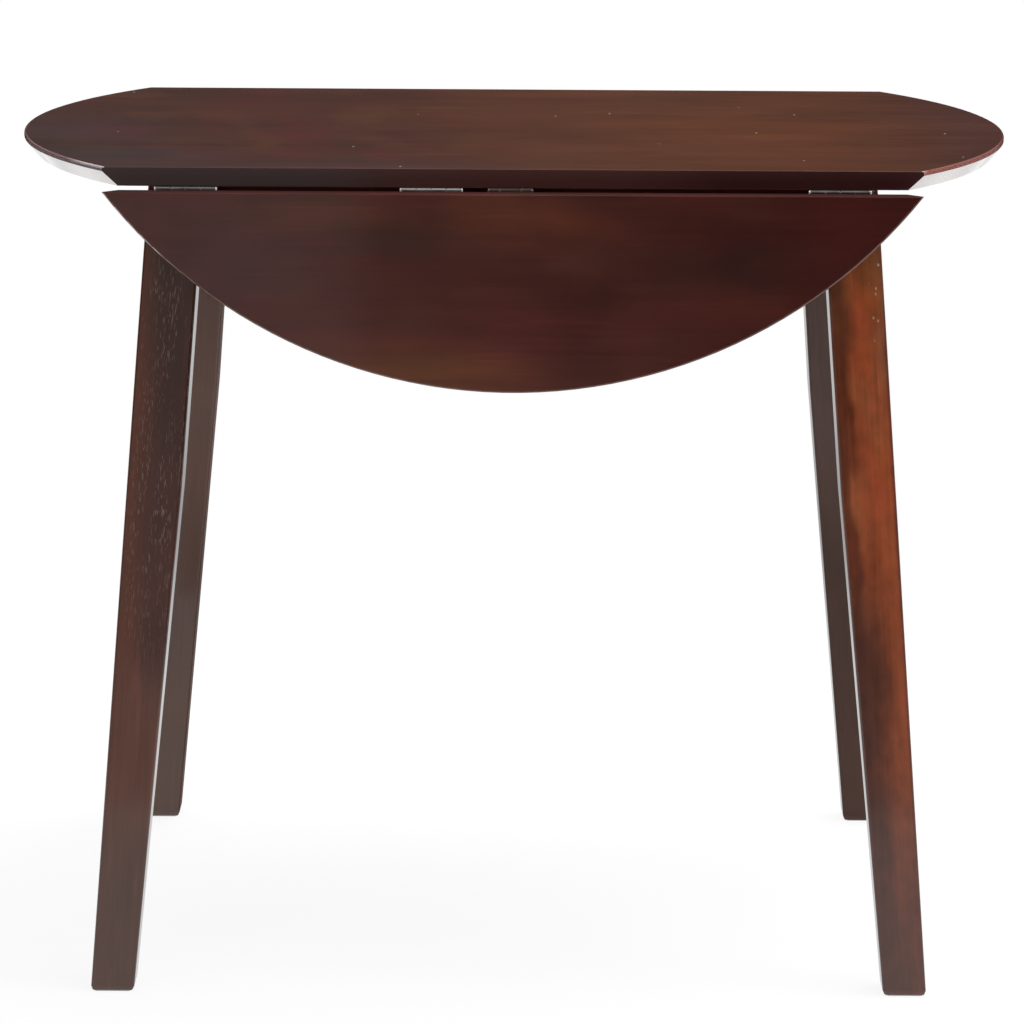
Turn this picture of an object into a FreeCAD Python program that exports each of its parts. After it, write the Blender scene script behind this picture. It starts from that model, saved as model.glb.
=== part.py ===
"""Round drop-leaf dining table: a centre board on four splayed legs, with a hinged leaf on each long side.

Millimetres, +Z up, origin on the floor under the middle of the table. The front leaf is on the -Y side and
the hinge lines run along X. Both leaves are drawn hanging.
"""
import FreeCAD, Part
import Sketcher
import math
import os

V = FreeCAD.Vector

SIZES = [
    # the round top
    ("top_diameter", 914, "across the table with both leaves up"),
    ("table_height", 750, "floor to the top surface"),
    ("top_thickness", 17, "centre board and leaves"),
    ("center_width", 556, "centre board across its two straight edges"),
    ("leaf_gap", 1.5, "joint between centre board and raised leaf"),
    ("edge_flat", 4, "upright band of the round edge"),
    ("edge_arris", 1.5, "eased top corner of the round edge"),
    ("bevel_inset", 11, "how far the round edge is cut under"),
    ("straight_arris", 0.5, "eased corners of the straight edges"),
    # the legs
    ("leg_corner_x", 323.5, "outer leg corner at the underside of the top"),
    ("leg_corner_y", 257, "the same, across the table"),
    ("leg_splay", 0.076, "outward lean, both ways, per millimetre of drop"),
    ("leg_width", 49.4, "square leg, above the taper"),
    ("foot_width", 39.3, "square leg, at the floor"),
    ("taper_drop", 275, "underside of the top to the start of the taper"),
    ("leg_arris", 2.5, "rounded long edges of the leg"),
    ("foot_rise", 5.5, "height of the eased bottom of the foot"),
    ("foot_inset", 4.2, "sole drawn in all round"),
    ("heel_rise", 1.8, "height of the break in the eased bottom"),
    ("heel_inset", 1.3, "the break, drawn in all round"),
    # the apron frame
    ("apron_height", 62, "depth of the four aprons"),
    ("apron_thickness", 20, "board thickness of the aprons"),
    ("apron_setback", 7, "apron face behind the leg face at the top"),
    ("apron_arris", 1.5, "rounded lower edges of the aprons"),
    ("block_height", 50, "corner block, from the top down"),
    ("block_thickness", 25, "corner block, along the bolts"),
    ("block_clear", 2.6, "corner block to the leg's inner edge"),
    # the leg bolts
    ("bolt_radius", 4, "hanger bolts that hold the legs"),
    ("bolt_length", 82, "whole hanger bolt"),
    ("bolt_in_leg", 42, "length inside the leg"),
    ("bolt_drop", 13, "upper bolt below the underside of the top"),
    ("bolt_pitch", 24, "upper bolt to lower bolt"),
    ("bolt_chamfer", 0.9, "both ends of a bolt"),
    ("washer_radius", 9, "washer under each nut"),
    ("washer_thickness", 2, "washer under each nut"),
    ("washer_play", 0.3, "bolt to the washer's bore"),
    ("nut_flats", 13, "hexagon nut across its flats"),
    ("nut_height", 6.5, "hexagon nut"),
    # the screws
    ("screw_head_height", 1.6, "countersunk part of every screw"),
    ("screw_point", 2, "length of a screw's point, in shank radii"),
    ("screw_tip", 0.2, "radius of a screw's tip, as a share of the shank's"),
    ("recess_width", 0.29, "cross recess, across a slot, as a share of the head's radius"),
    ("recess_length", 1.2, "cross recess, along a slot, as a share of the head's radius"),
    ("recess_depth", 0.7, "cross recess, as a share of the head's height"),
    ("small_screw_radius", 1.7, "hinge and support screws"),
    ("small_screw_head", 3.3, "their countersunk heads"),
    ("small_screw_length", 12, "hinge and support screws"),
    ("wood_screw_radius", 2.2, "screws through the corner blocks"),
    ("wood_screw_head", 4.2, "their countersunk heads"),
    ("top_screw_length", 61, "from the block up into the top"),
    ("top_screw_spread", 26, "screws into the top, either side of the bolts"),
    ("block_screw_length", 28, "from the block into an apron"),
    ("block_screw_inset", 14, "screws into the aprons, from the end of the block"),
    # the hinges
    ("hinge_length", 53, "length of a hinge along its pin"),
    ("hinge_plate_width", 19, "pin axis to the far edge of a plate"),
    ("hinge_sheet", 1.2, "sheet thickness of the hinge plates"),
    ("hinge_corner", 2.5, "rounded far corners of the hinge plates"),
    ("knuckle_radius", 2.3, "outside of the rolled knuckles"),
    ("knuckle_gap", 0.3, "play between neighbouring knuckles"),
    ("knuckle_ease", 0.5, "eased ends of the knuckles"),
    ("pin_radius", 1.25, "hinge pins"),
    ("pin_play", 0.05, "radial play of the pins in their bores"),
    ("hinge_end_x", 289, "end hinges from the middle of the table"),
    ("hinge_middle_x", -72, "middle hinge of the front leaf"),
    ("plate_hole_along", 18, "outer screws of a hinge plate, from its middle"),
    ("plate_hole_far", 13.3, "outer screws, from the pin axis"),
    ("plate_hole_near", 9.1, "middle screw, from the pin axis"),
    # the folding leaf supports
    ("support_x", -2, "middle of the front support"),
    ("support_width", 38, "knuckle and flange of the support"),
    ("support_sheet", 1.5, "sheet thickness of the support"),
    ("support_web_drop", 58, "bracket web below the hinge axis"),
    ("flange_screw_spread", 11, "flange screws from the middle of the support"),
    ("flange_screw_back", 15.8, "flange screws behind the hinge axis"),
    ("web_screw_spread", 13, "web screws from the middle of the support"),
    ("web_screw_drop", 16, "web screws below the hinge axis"),
    ("lug_sheet", 2, "thickness of the two lugs"),
    ("lug_play", 0.5, "brace to each lug"),
    ("lug_rise", 15, "root of a lug above the pivot"),
    ("lug_fall", 12, "root of a lug below the pivot"),
    ("arm_knuckle", 19, "knuckle of the arm, between those of the bracket"),
    ("arm_shoulder", 12, "wide end of the arm, from the hinge axis"),
    ("arm_width", 24, "channel on the leaf, outside"),
    ("arm_length", 153, "hinge axis to the end of the channel"),
    ("arm_depth", 14, "side walls of the channel"),
    ("arm_corner", 4, "cut corners at the end of the arm"),
    ("wall_start", 20, "channel walls start, from the hinge axis"),
    ("wall_full", 40, "channel walls reach full depth, from the hinge axis"),
    ("wall_fall", 12, "full depth ends, before the end of the arm"),
    ("wall_end", 5, "channel walls end, before the end of the arm"),
    ("catch_play", 0.5, "catch beyond the slide pin, with the leaf up"),
    ("catch_length", 2, "catch, along the arm"),
    ("catch_height", 1.5, "catch above the channel's floor"),
    ("arm_screw_first", 26, "screws of the arm, from the hinge axis"),
    ("arm_screw_second", 60, "the same"),
    ("arm_screw_last", 147, "the same"),
    ("pivot_back", 13, "brace pivot behind the hinge axis"),
    ("pivot_drop", 38, "brace pivot below the hinge axis"),
    ("pivot_radius", 2.5, "brace pivot pin"),
    ("pivot_eye", 6, "outside of the brace's eye and the bracket's lugs"),
    ("brace_length", 100, "pivot pin to slide pin"),
    ("brace_width", 8, "brace, along the pins"),
    ("brace_depth", 7, "brace, across its length"),
    ("slide_radius", 4, "slide pin that runs in the channel"),
    ("slide_width", 18, "slide pin, end to end"),
    ("slide_play", 0.2, "slide pin to the channel's floor"),
    ("knuckle_head_radius", 2, "peened heads of every hinge pin"),
    ("knuckle_head_length", 1.2, "peened heads of every hinge pin"),
    ("pivot_head_radius", 4.2, "heads of the pivot pin"),
    ("pivot_head_length", 1.5, "heads of the pivot pin"),
    ("head_play", 0.1, "pin heads to what they hold"),
    ("head_round", 0.8, "rounded rims of the pin heads"),
]

doc = FreeCAD.newDocument("DropLeafTable")
sheet = doc.addObject("Spreadsheet::Sheet", "Sizes")
for row, (alias, number, note) in enumerate(SIZES, start=1):
    sheet.set(f"A{row}", alias)
    sheet.set(f"B{row}", str(number))
    sheet.set(f"C{row}", note)
    sheet.setAlias(f"B{row}", alias)
doc.recompute()

# Derived sizes, as expressions on the sheet.
RADIUS = "(Sizes.top_diameter / 2)"
UNDERSIDE = "(Sizes.table_height - Sizes.top_thickness)"
CHORD = "(Sizes.center_width / 2)"
LEAF_CHORD = f"({CHORD} + Sizes.leaf_gap)"
HINGE_Y = f"({CHORD} + Sizes.leaf_gap / 2)"
HINGE_Z = f"({UNDERSIDE} - Sizes.knuckle_radius)"
LEG_INNER_X = "(Sizes.leg_corner_x - Sizes.leg_width)"
LEG_INNER_Y = "(Sizes.leg_corner_y - Sizes.leg_width)"
APRON_FACE_X = "(Sizes.leg_corner_x - Sizes.apron_setback)"
APRON_FACE_Y = "(Sizes.leg_corner_y - Sizes.apron_setback)"
APRON_INNER_X = f"({APRON_FACE_X} - Sizes.apron_thickness)"
APRON_INNER_Y = f"({APRON_FACE_Y} - Sizes.apron_thickness)"
APRON_BOTTOM = f"({UNDERSIDE} - Sizes.apron_height)"

TOLERANCE = 0.01
X, Y, Z = V(1, 0, 0), V(0, 1, 0), V(0, 0, 1)
nodes = []


def value(expression):
    """Number that an expression on the sheet gives."""
    return float(sheet.evalExpression(expression))


def turn(axis, degrees):
    """Placement that turns about an axis through the origin."""
    return FreeCAD.Placement(V(), FreeCAD.Rotation(axis, degrees))


def shift(x, y, z):
    """Placement that moves without turning."""
    return FreeCAD.Placement(V(x, y, z), FreeCAD.Rotation())


def keep(node):
    """Count a finished object as one of the table's pieces."""
    nodes.append(node)
    return node


def new_body(label):
    """Empty body with a plain name."""
    body = doc.addObject("PartDesign::Body", label)
    body.Label = label
    return body


def new_sketch(body, name, role, offset=None):
    """Sketch on one of the body's own planes, moved along its normal by an expression."""
    sketch = body.newObject("Sketcher::SketchObject", name)
    plane = next(feature for feature in body.Origin.OriginFeatures if feature.Role == role)
    sketch.AttachmentSupport = [(plane, "")]
    sketch.MapMode = "FlatFace"
    if offset:
        sketch.setExpression("AttachmentOffset.Base.z", offset)
    return sketch


def constrain(sketch, kind, geometry, point, expression):
    """Tie a point's distance from the sketch's origin to the sheet."""
    rule = Sketcher.Constraint(kind, -1, 1, geometry, point, value(expression))
    number = sketch.addConstraint(rule)
    sketch.setExpression(f"Constraints[{number}]", expression)


def add_polygon(sketch, corners):
    """Closed outline whose corners are pairs of expressions."""
    first = sketch.GeometryCount
    places = [V(value(x), value(y), 0) for x, y in corners]
    for i, place in enumerate(places):
        sketch.addGeometry(Part.LineSegment(place, places[(i + 1) % len(places)]), False)
    for i, (x, y) in enumerate(corners):
        following = first + (i + 1) % len(corners)
        sketch.addConstraint(Sketcher.Constraint("Coincident", first + i, 2, following, 1))
        constrain(sketch, "DistanceX", first + i, 1, x)
        constrain(sketch, "DistanceY", first + i, 1, y)


def add_circle(sketch, x, y, radius):
    """Circle whose centre and radius are expressions."""
    number = sketch.addGeometry(Part.Circle(V(value(x), value(y), 0), Z, value(radius)), False)
    constrain(sketch, "DistanceX", number, 3, x)
    constrain(sketch, "DistanceY", number, 3, y)
    rule = sketch.addConstraint(Sketcher.Constraint("Radius", number, value(radius)))
    sketch.setExpression(f"Constraints[{rule}]", radius)


def pad(body, sketch, length, symmetric=False):
    """Raise a sketch along its normal, or evenly to both sides of its plane."""
    feature = body.newObject("PartDesign::Pad", f"{sketch.Name}_pad")
    feature.Profile = sketch
    feature.SideType = "Symmetric" if symmetric else "One side"
    feature.setExpression("Length", length)


def revolve(body, sketch, axis):
    """Turn a sketch all the way round one of its own axes."""
    feature = body.newObject("PartDesign::Revolution", f"{sketch.Name}_turned")
    feature.Profile = sketch
    feature.ReferenceAxis = (sketch, [axis])
    feature.Angle = 360


def cut_through(body, sketch):
    """Pocket right through the body, to both sides of the sketch's plane, and prove that it cuts."""
    doc.recompute()
    before = body.Shape.Volume
    feature = body.newObject("PartDesign::Pocket", f"{sketch.Name}_pocket")
    feature.Profile = sketch
    feature.SideType = "Symmetric"
    feature.Type = "ThroughAll"
    doc.recompute()
    if body.Shape.Volume >= before:
        raise RuntimeError(f"{sketch.Name} cuts nothing")


def round_edges(body, test, radius):
    """Round the edges of the body's last feature whose end points all pass a test."""
    doc.recompute()
    last = body.Tip
    names = [f"Edge{i}" for i, edge in enumerate(last.Shape.Edges, start=1)
             if test([vertex.Point for vertex in edge.Vertexes])]
    feature = body.newObject("PartDesign::Fillet", f"{body.Name}_fillet")
    feature.Base = (last, names)
    feature.setExpression("Radius", radius)


def drilled(label, blank, tools):
    """Piece with the room for its fasteners taken out of the blank."""
    tool = doc.addObject("Part::Compound", f"{label}_holes")
    tool.Links = tools
    cut = doc.addObject("Part::Cut", label)
    cut.Label = label
    cut.Base = blank
    cut.Tool = tool
    keep(cut)


def copies(label, solid, placements):
    """The same solid at several places, as one object."""
    feature = doc.addObject("Part::Feature", label)
    feature.Label = label
    feature.Shape = Part.makeCompound([solid.transformed(place.toMatrix()) for place in placements])
    return feature


def group(label, solid, room, placements):
    """Identical fasteners as separate solids in one piece. Returns the room that they take elsewhere."""
    keep(copies(label, solid, placements))
    return copies(f"{label}_room", room, placements)


def screw_room(radius, head_radius, length):
    """Countersunk hole for a wood screw, along +Z from the head's face at the origin."""
    start = length - value("Sizes.screw_point") * radius
    head = Part.makeCone(head_radius, radius, value("Sizes.screw_head_height"))
    shank = Part.makeCylinder(radius, start)
    point = Part.makeCone(radius, value("Sizes.screw_tip") * radius, length - start, V(0, 0, start))
    return head.fuse([shank, point]).removeSplitter()


def cross_headed(room, head_radius):
    """Wood screw that fills its hole, with a cross recess in its head."""
    width, length = (head_radius * value(f"Sizes.recess_{name}") for name in ("width", "length"))
    depth = value("Sizes.recess_depth * Sizes.screw_head_height")
    screw = room
    for size_x, size_y in ((width, length), (length, width)):
        screw = screw.cut(Part.makeBox(size_x, size_y, depth, V(-size_x / 2, -size_y / 2, 0)))
    return screw


# Fasteners come first, because the wooden pieces are drilled for them.
# The hinges and supports share one small screw. The back leaf's are the front leaf's turned half round.
SIDES = {"front": turn(Z, 0), "back": turn(Z, 180)}
HANGING = turn(X, 90)
FLIPPED = turn(Z, 180)
small_head = value("Sizes.small_screw_head")
small_room = screw_room(value("Sizes.small_screw_radius"), small_head, value("Sizes.small_screw_length"))
small_screw = cross_headed(small_room, small_head)
hinge_line = shift(0, -value(HINGE_Y), value(HINGE_Z))
hinge_x = {"left": -value("Sizes.hinge_end_x"), "middle": value("Sizes.hinge_middle_x"),
           "right": value("Sizes.hinge_end_x")}

# Three screws in a hinge plate: two near the far edge, one nearer the pin.
hinge_face = value("Sizes.knuckle_radius - Sizes.hinge_sheet")
hole_along, hole_far = value("Sizes.plate_hole_along"), value("Sizes.plate_hole_far")
plate_screws = [shift(-hole_along, hole_far, hinge_face),
                shift(0, value("Sizes.plate_hole_near"), hinge_face),
                shift(hole_along, hole_far, hinge_face)]
plate_places = {(side, name): place * hinge_line * shift(x, 0, 0)
                for side, place in SIDES.items() for name, x in hinge_x.items()}
flap_places = {key: place * HANGING * FLIPPED for key, place in plate_places.items()}

hinge_screws_top = group("hinge_screws_top", small_screw, small_room,
                         [plate * screw for plate in plate_places.values() for screw in plate_screws])
hinge_screws_leaf = {
    side: group(f"hinge_screws_{side}_leaf", small_screw, small_room,
                [flap_places[side, name] * screw for name in hinge_x for screw in plate_screws])
    for side in SIDES}

# Support screws: two up through the bracket's flange, two through its web, three through the arm's floor.
SHEET = "Sizes.support_sheet"
FLANGE_FACE = f"(Sizes.knuckle_radius - {SHEET})"
APRON_BACK = f"({HINGE_Y} - {APRON_FACE_Y})"
WEB_FACE = f"({APRON_BACK} - {SHEET})"
support_places = {side: place * hinge_line * shift(value("Sizes.support_x"), 0, 0)
                  for side, place in SIDES.items()}
arm_places = {side: place * HANGING * FLIPPED for side, place in support_places.items()}
frame_screws = [
    shift(sign * value("Sizes.flange_screw_spread"), value("Sizes.flange_screw_back"), value(FLANGE_FACE))
    for sign in (-1, 1)]
web_screw_z = -value("Sizes.web_screw_drop")
frame_screws += [
    shift(sign * value("Sizes.web_screw_spread"), value(WEB_FACE), web_screw_z) * turn(X, -90)
    for sign in (-1, 1)]
arm_screws = [shift(0, value(f"Sizes.arm_screw_{name}"), value(FLANGE_FACE))
              for name in ("first", "second", "last")]
support_screws_frame = group("support_screws_frame", small_screw, small_room,
                             [place * screw for place in support_places.values() for screw in frame_screws])
support_screws_leaf = {
    side: group(f"support_screws_{side}_leaf", small_screw, small_room,
                [arm_places[side] * screw for screw in arm_screws])
    for side in SIDES}

# Leg bolts run level through each corner block, on the diagonal of the leg.
CORNERS = {"front_left": (-1, -1), "front_right": (1, -1), "back_left": (-1, 1), "back_right": (1, 1)}
NUT_SIDES = 6
leg_edge = value(f"({LEG_INNER_X} + {LEG_INNER_Y}) / sqrt(2)")
bolt_side = value(f"({LEG_INNER_X} - {LEG_INNER_Y}) / sqrt(2)")
block_outer = leg_edge - value("Sizes.block_clear")
block_inner = block_outer - value("Sizes.block_thickness")
bolt_start = leg_edge + value("Sizes.bolt_in_leg - Sizes.bolt_length")
bolt_levels = [value(f"{UNDERSIDE} - Sizes.bolt_drop - {i} * Sizes.bolt_pitch") for i in range(2)]


def diagonal(corner, along, level):
    """Placement on a corner's diagonal, with +Z pointing out to the leg."""
    sign_x, sign_y = CORNERS[corner]
    out = V(sign_x, sign_y, 0) / math.sqrt(2)
    across = V(sign_x, -sign_y, 0) / math.sqrt(2)
    base = out * along + across * bolt_side + V(0, 0, level)
    return FreeCAD.Placement(base, FreeCAD.Rotation(Z, out))


def on_bolts(along):
    """The same place on all the leg bolts."""
    return [diagonal(corner, along, level) for corner in CORNERS for level in bolt_levels]


def hexagon_nut(bolt):
    """Nut along +Z that a bolt fills."""
    radius = value("Sizes.nut_flats") / math.sqrt(3)
    angles = [2 * math.pi * i / NUT_SIDES for i in range(NUT_SIDES + 1)]
    outline = Part.makePolygon([V(radius * math.cos(angle), radius * math.sin(angle), 0) for angle in angles])
    return Part.Face(outline).extrude(V(0, 0, value("Sizes.nut_height"))).cut(bolt)


bolt_blank = Part.makeCylinder(value("Sizes.bolt_radius"), value("Sizes.bolt_length"))
bolt_rims = [edge for edge in bolt_blank.Edges if edge.isClosed()]
bolt = bolt_blank.makeChamfer(value("Sizes.bolt_chamfer"), bolt_rims)
washer_thickness = value("Sizes.washer_thickness")
washer_bore = Part.makeCylinder(value("Sizes.bolt_radius + Sizes.washer_play"), washer_thickness)
washer = Part.makeCylinder(value("Sizes.washer_radius"), washer_thickness).cut(washer_bore)
nut_start = block_inner - washer_thickness - value("Sizes.nut_height")
leg_bolts = group("leg_bolts", bolt, bolt, on_bolts(bolt_start))
keep(copies("leg_washers", washer, on_bolts(block_inner - washer_thickness)))
keep(copies("leg_nuts", hexagon_nut(bolt_blank), on_bolts(nut_start)))

# Long screws: up through each block into the top, and level through each block's ends into the aprons.
wood_radius, wood_head = value("Sizes.wood_screw_radius"), value("Sizes.wood_screw_head")
top_screw_room = screw_room(wood_radius, wood_head, value("Sizes.top_screw_length"))
block_screw_room = screw_room(wood_radius, wood_head, value("Sizes.block_screw_length"))
block_bottom = value(f"{UNDERSIDE} - Sizes.block_height")


def top_screw_places():
    """Two upright screws in each block, either side of its bolts."""
    middle = (block_inner + block_outer) / 2
    spread = value("Sizes.top_screw_spread")
    places = []
    for sign_x, sign_y in CORNERS.values():
        for across in (bolt_side - spread, bolt_side + spread):
            x, y = (middle + across) / math.sqrt(2), (middle - across) / math.sqrt(2)
            places.append(shift(sign_x * x, sign_y * y, block_bottom))
    return places


def block_screw_places():
    """One level screw from each end of a block into the apron that it meets."""
    face_sum = block_inner * math.sqrt(2)
    level = block_bottom + value("Sizes.block_height") / 2
    x = face_sum - value(f"{APRON_INNER_Y} - Sizes.block_screw_inset")
    y = face_sum - value(f"{APRON_INNER_X} - Sizes.block_screw_inset")
    places = []
    for sign_x, sign_y in CORNERS.values():
        places.append(shift(sign_x * x, sign_y * (face_sum - x), level) * turn(X, -90 * sign_y))
        places.append(shift(sign_x * (face_sum - y), sign_y * y, level) * turn(Y, 90 * sign_x))
    return places


top_screws = group("top_screws", cross_headed(top_screw_room, wood_head), top_screw_room, top_screw_places())
block_screws = group("block_screws", cross_headed(block_screw_room, wood_head), block_screw_room,
                     block_screw_places())


# The round top: one turned disc profile, trimmed to the centre board and to the leaves.
def round_board(label, trims):
    """Disc with the shaped edge, trimmed at straight edges: their place in Y and the side cut away."""
    body = new_body(label)
    profile = new_sketch(body, f"{label}_profile", "XZ_Plane")
    add_polygon(profile, [
        ("0", UNDERSIDE),
        (f"{RADIUS} - Sizes.bevel_inset", UNDERSIDE),
        (RADIUS, "Sizes.table_height - Sizes.edge_flat"),
        (RADIUS, "Sizes.table_height"),
        ("0", "Sizes.table_height"),
    ])
    revolve(body, profile, "V_Axis")
    rim = V(0, 0, value("Sizes.table_height"))

    def on_rim(points):
        return all(abs(point.distanceToPoint(rim) - value(RADIUS)) < TOLERANCE
                   and abs(point.z - rim.z) < TOLERANCE for point in points)

    round_edges(body, on_rim, "Sizes.edge_arris")
    past = "(Sizes.top_thickness / 2)"
    low, high = f"({UNDERSIDE} - {past})", f"(Sizes.table_height + {past})"
    for i, (edge, sign) in enumerate(trims):
        trim = new_sketch(body, f"{label}_trim_{i}", "YZ_Plane")
        eased = f"({edge} - {sign} * Sizes.straight_arris)"
        beyond = f"({sign} * ({RADIUS} + {past}))"
        add_polygon(trim, [
            (edge, "Sizes.table_height - Sizes.straight_arris"),
            (edge, f"{UNDERSIDE} + Sizes.straight_arris"),
            (eased, UNDERSIDE), (eased, low), (beyond, low), (beyond, high), (eased, high),
            (eased, "Sizes.table_height"),
        ])
        cut_through(body, trim)
    return body


center_blank = round_board("center_board", [(CHORD, 1), (f"(-{CHORD})", -1)])
drilled("center_top", center_blank, [hinge_screws_top, support_screws_frame, top_screws])

for side, place in SIDES.items():
    leaf_blank = round_board(f"{side}_board", [(f"(-{LEAF_CHORD})", 1)])
    leaf_blank.Placement = place * hinge_line * HANGING * hinge_line.inverse()
    drilled(f"{side}_leaf", leaf_blank, [hinge_screws_leaf[side], support_screws_leaf[side]])


# Legs: square, leaning out both ways, with the two inner faces tapered below the apron.
def leg_section(body, name, drop, width, inset, sign_x, sign_y):
    """Level cut through a leg: a square hung from its outer corner and drawn in all round."""
    sketch = new_sketch(body, name, "XY_Plane", f"{UNDERSIDE} - {drop}")
    spans = []
    for sign, corner in ((sign_x, "Sizes.leg_corner_x"), (sign_y, "Sizes.leg_corner_y")):
        outer = f"({corner} + Sizes.leg_splay * {drop} - {inset})"
        inner = f"({outer} - {width} + 2 * {inset})"
        spans.append(sorted((f"{sign} * {inner}", f"{sign} * {outer}"), key=value))
    (low_x, high_x), (low_y, high_y) = spans
    add_polygon(sketch, [(low_x, low_y), (high_x, low_y), (high_x, high_y), (low_x, high_y)])
    return sketch


def leg(corner):
    """One leg, drilled for its two bolts. The last three sections are the eased bottom of its foot."""
    sign_x, sign_y = CORNERS[corner]
    body = new_body(f"{corner}_leg_blank")
    stations = [
        ("top", "0", "Sizes.leg_width", "0"),
        ("knee", "Sizes.taper_drop", "Sizes.leg_width", "0"),
        ("ankle", f"({UNDERSIDE} - Sizes.foot_rise)", "Sizes.foot_width", "0"),
        ("heel", f"({UNDERSIDE} - Sizes.heel_rise)", "Sizes.foot_width", "Sizes.heel_inset"),
        ("sole", UNDERSIDE, "Sizes.foot_width", "Sizes.foot_inset"),
    ]
    sections = [leg_section(body, f"{corner}_{name}", drop, width, inset, sign_x, sign_y)
                for name, drop, width, inset in stations]
    loft = body.newObject("PartDesign::AdditiveLoft", f"{corner}_leg_loft")
    loft.Profile = sections[0]
    loft.Sections = sections[1:]
    loft.Ruled = True
    round_edges(body, lambda points: abs(points[0].z - points[-1].z) > TOLERANCE, "Sizes.leg_arris")
    drilled(f"{corner}_leg", body, [leg_bolts])


for corner in CORNERS:
    leg(corner)


# Aprons: upright boards whose ends are cut to the lean of the legs.
def apron(label, role, inner_top, face, sign):
    """Apron between two legs. inner_top is half its upper length, face the distance of its outer face."""
    body = new_body(f"{label}_board")
    sketch = new_sketch(body, f"{label}_face", role)
    inner_bottom = f"({inner_top} + Sizes.leg_splay * Sizes.apron_height)"
    add_polygon(sketch, [(f"-{inner_top}", UNDERSIDE), (f"-{inner_bottom}", APRON_BOTTOM),
                         (inner_bottom, APRON_BOTTOM), (inner_top, UNDERSIDE)])
    pad(body, sketch, "Sizes.apron_thickness", symmetric=True)
    bottom, length = value(APRON_BOTTOM), value(f"2 * {inner_bottom}")

    def along_bottom(points):
        level = all(abs(point.z - bottom) < TOLERANCE for point in points)
        return level and abs(points[0].distanceToPoint(points[-1]) - length) < TOLERANCE

    round_edges(body, along_bottom, "Sizes.apron_arris")
    middle = sign * value(f"{face} - Sizes.apron_thickness / 2")
    body.Placement = shift(0, middle, 0) if role == "XZ_Plane" else shift(middle, 0, 0)
    drilled(label, body, [support_screws_frame, block_screws])


apron("front_apron", "XZ_Plane", LEG_INNER_X, APRON_FACE_Y, -1)
apron("back_apron", "XZ_Plane", LEG_INNER_X, APRON_FACE_Y, 1)
apron("left_apron", "YZ_Plane", LEG_INNER_Y, APRON_FACE_X, -1)
apron("right_apron", "YZ_Plane", LEG_INNER_Y, APRON_FACE_X, 1)


# Corner blocks: mitred between two aprons, square to the diagonal of the leg.
def corner_block(corner):
    """One block, drilled for its bolts and screws."""
    sign_x, sign_y = CORNERS[corner]
    body = new_body(f"{corner}_block_blank")
    sketch = new_sketch(body, f"{corner}_block_plan", "XY_Plane", f"{UNDERSIDE} - Sizes.block_height")
    outer = f"({LEG_INNER_X} + {LEG_INNER_Y} - sqrt(2) * Sizes.block_clear)"
    inner = f"({outer} - sqrt(2) * Sizes.block_thickness)"
    plan = [(f"{outer} - {APRON_INNER_Y}", APRON_INNER_Y), (f"{inner} - {APRON_INNER_Y}", APRON_INNER_Y),
            (APRON_INNER_X, f"{inner} - {APRON_INNER_X}"), (APRON_INNER_X, f"{outer} - {APRON_INNER_X}")]
    add_polygon(sketch, [(f"{sign_x} * ({x})", f"{sign_y} * ({y})") for x, y in plan])
    pad(body, sketch, "Sizes.block_height")
    drilled(f"{corner}_block", body, [leg_bolts, top_screws, block_screws])


for corner in CORNERS:
    corner_block(corner)


# Hinges: two like plates with two knuckles each, on one pin. Local X is the pin, +Y the way the plate lies.
BORE = "Sizes.pin_radius + Sizes.pin_play"
PITCH = "(Sizes.hinge_length / 4)"
KNUCKLE_ROOM = "(Sizes.knuckle_radius + Sizes.knuckle_gap)"


def knuckle(body, name, start, end):
    """Rolled knuckle round the X axis, with eased ends."""
    profile = new_sketch(body, name, "XY_Plane")
    rim = "(Sizes.knuckle_radius - Sizes.knuckle_ease)"
    add_polygon(profile, [
        (start, "0"), (start, rim), (f"{start} + Sizes.knuckle_ease", "Sizes.knuckle_radius"),
        (f"{end} - Sizes.knuckle_ease", "Sizes.knuckle_radius"), (end, rim), (end, "0"),
    ])
    revolve(body, profile, "H_Axis")


def hinge_plate(label, place, screws):
    """One plate of a hinge with its first and third knuckles."""
    body = new_body(f"{label}_blank")
    outline = new_sketch(body, f"{label}_outline", "XY_Plane", "Sizes.knuckle_radius - Sizes.hinge_sheet")
    starts = [f"(-2 * {PITCH} + Sizes.knuckle_gap / 2)", "(Sizes.knuckle_gap / 2)"]
    ends = [f"({start} + {PITCH} - Sizes.knuckle_gap)" for start in starts]
    add_polygon(outline, [
        (starts[0], "0"), (ends[0], "0"), (ends[0], KNUCKLE_ROOM), (starts[1], KNUCKLE_ROOM),
        (starts[1], "0"), (ends[1], "0"), (ends[1], KNUCKLE_ROOM), (f"2 * {PITCH}", KNUCKLE_ROOM),
        (f"2 * {PITCH}", "Sizes.hinge_plate_width"), (starts[0], "Sizes.hinge_plate_width"),
    ])
    pad(body, outline, "Sizes.hinge_sheet")
    far = value("Sizes.hinge_plate_width")

    def far_corner(points):
        upright = abs(points[0].z - points[-1].z) > TOLERANCE
        return upright and all(abs(point.y - far) < TOLERANCE for point in points)

    round_edges(body, far_corner, "Sizes.hinge_corner")
    for i, (start, end) in enumerate(zip(starts, ends)):
        knuckle(body, f"{label}_knuckle_{i}", start, end)
    bore = new_sketch(body, f"{label}_bore", "YZ_Plane")
    add_circle(bore, "0", "0", BORE)
    cut_through(body, bore)
    body.Placement = place
    drilled(label, body, [screws])


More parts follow.
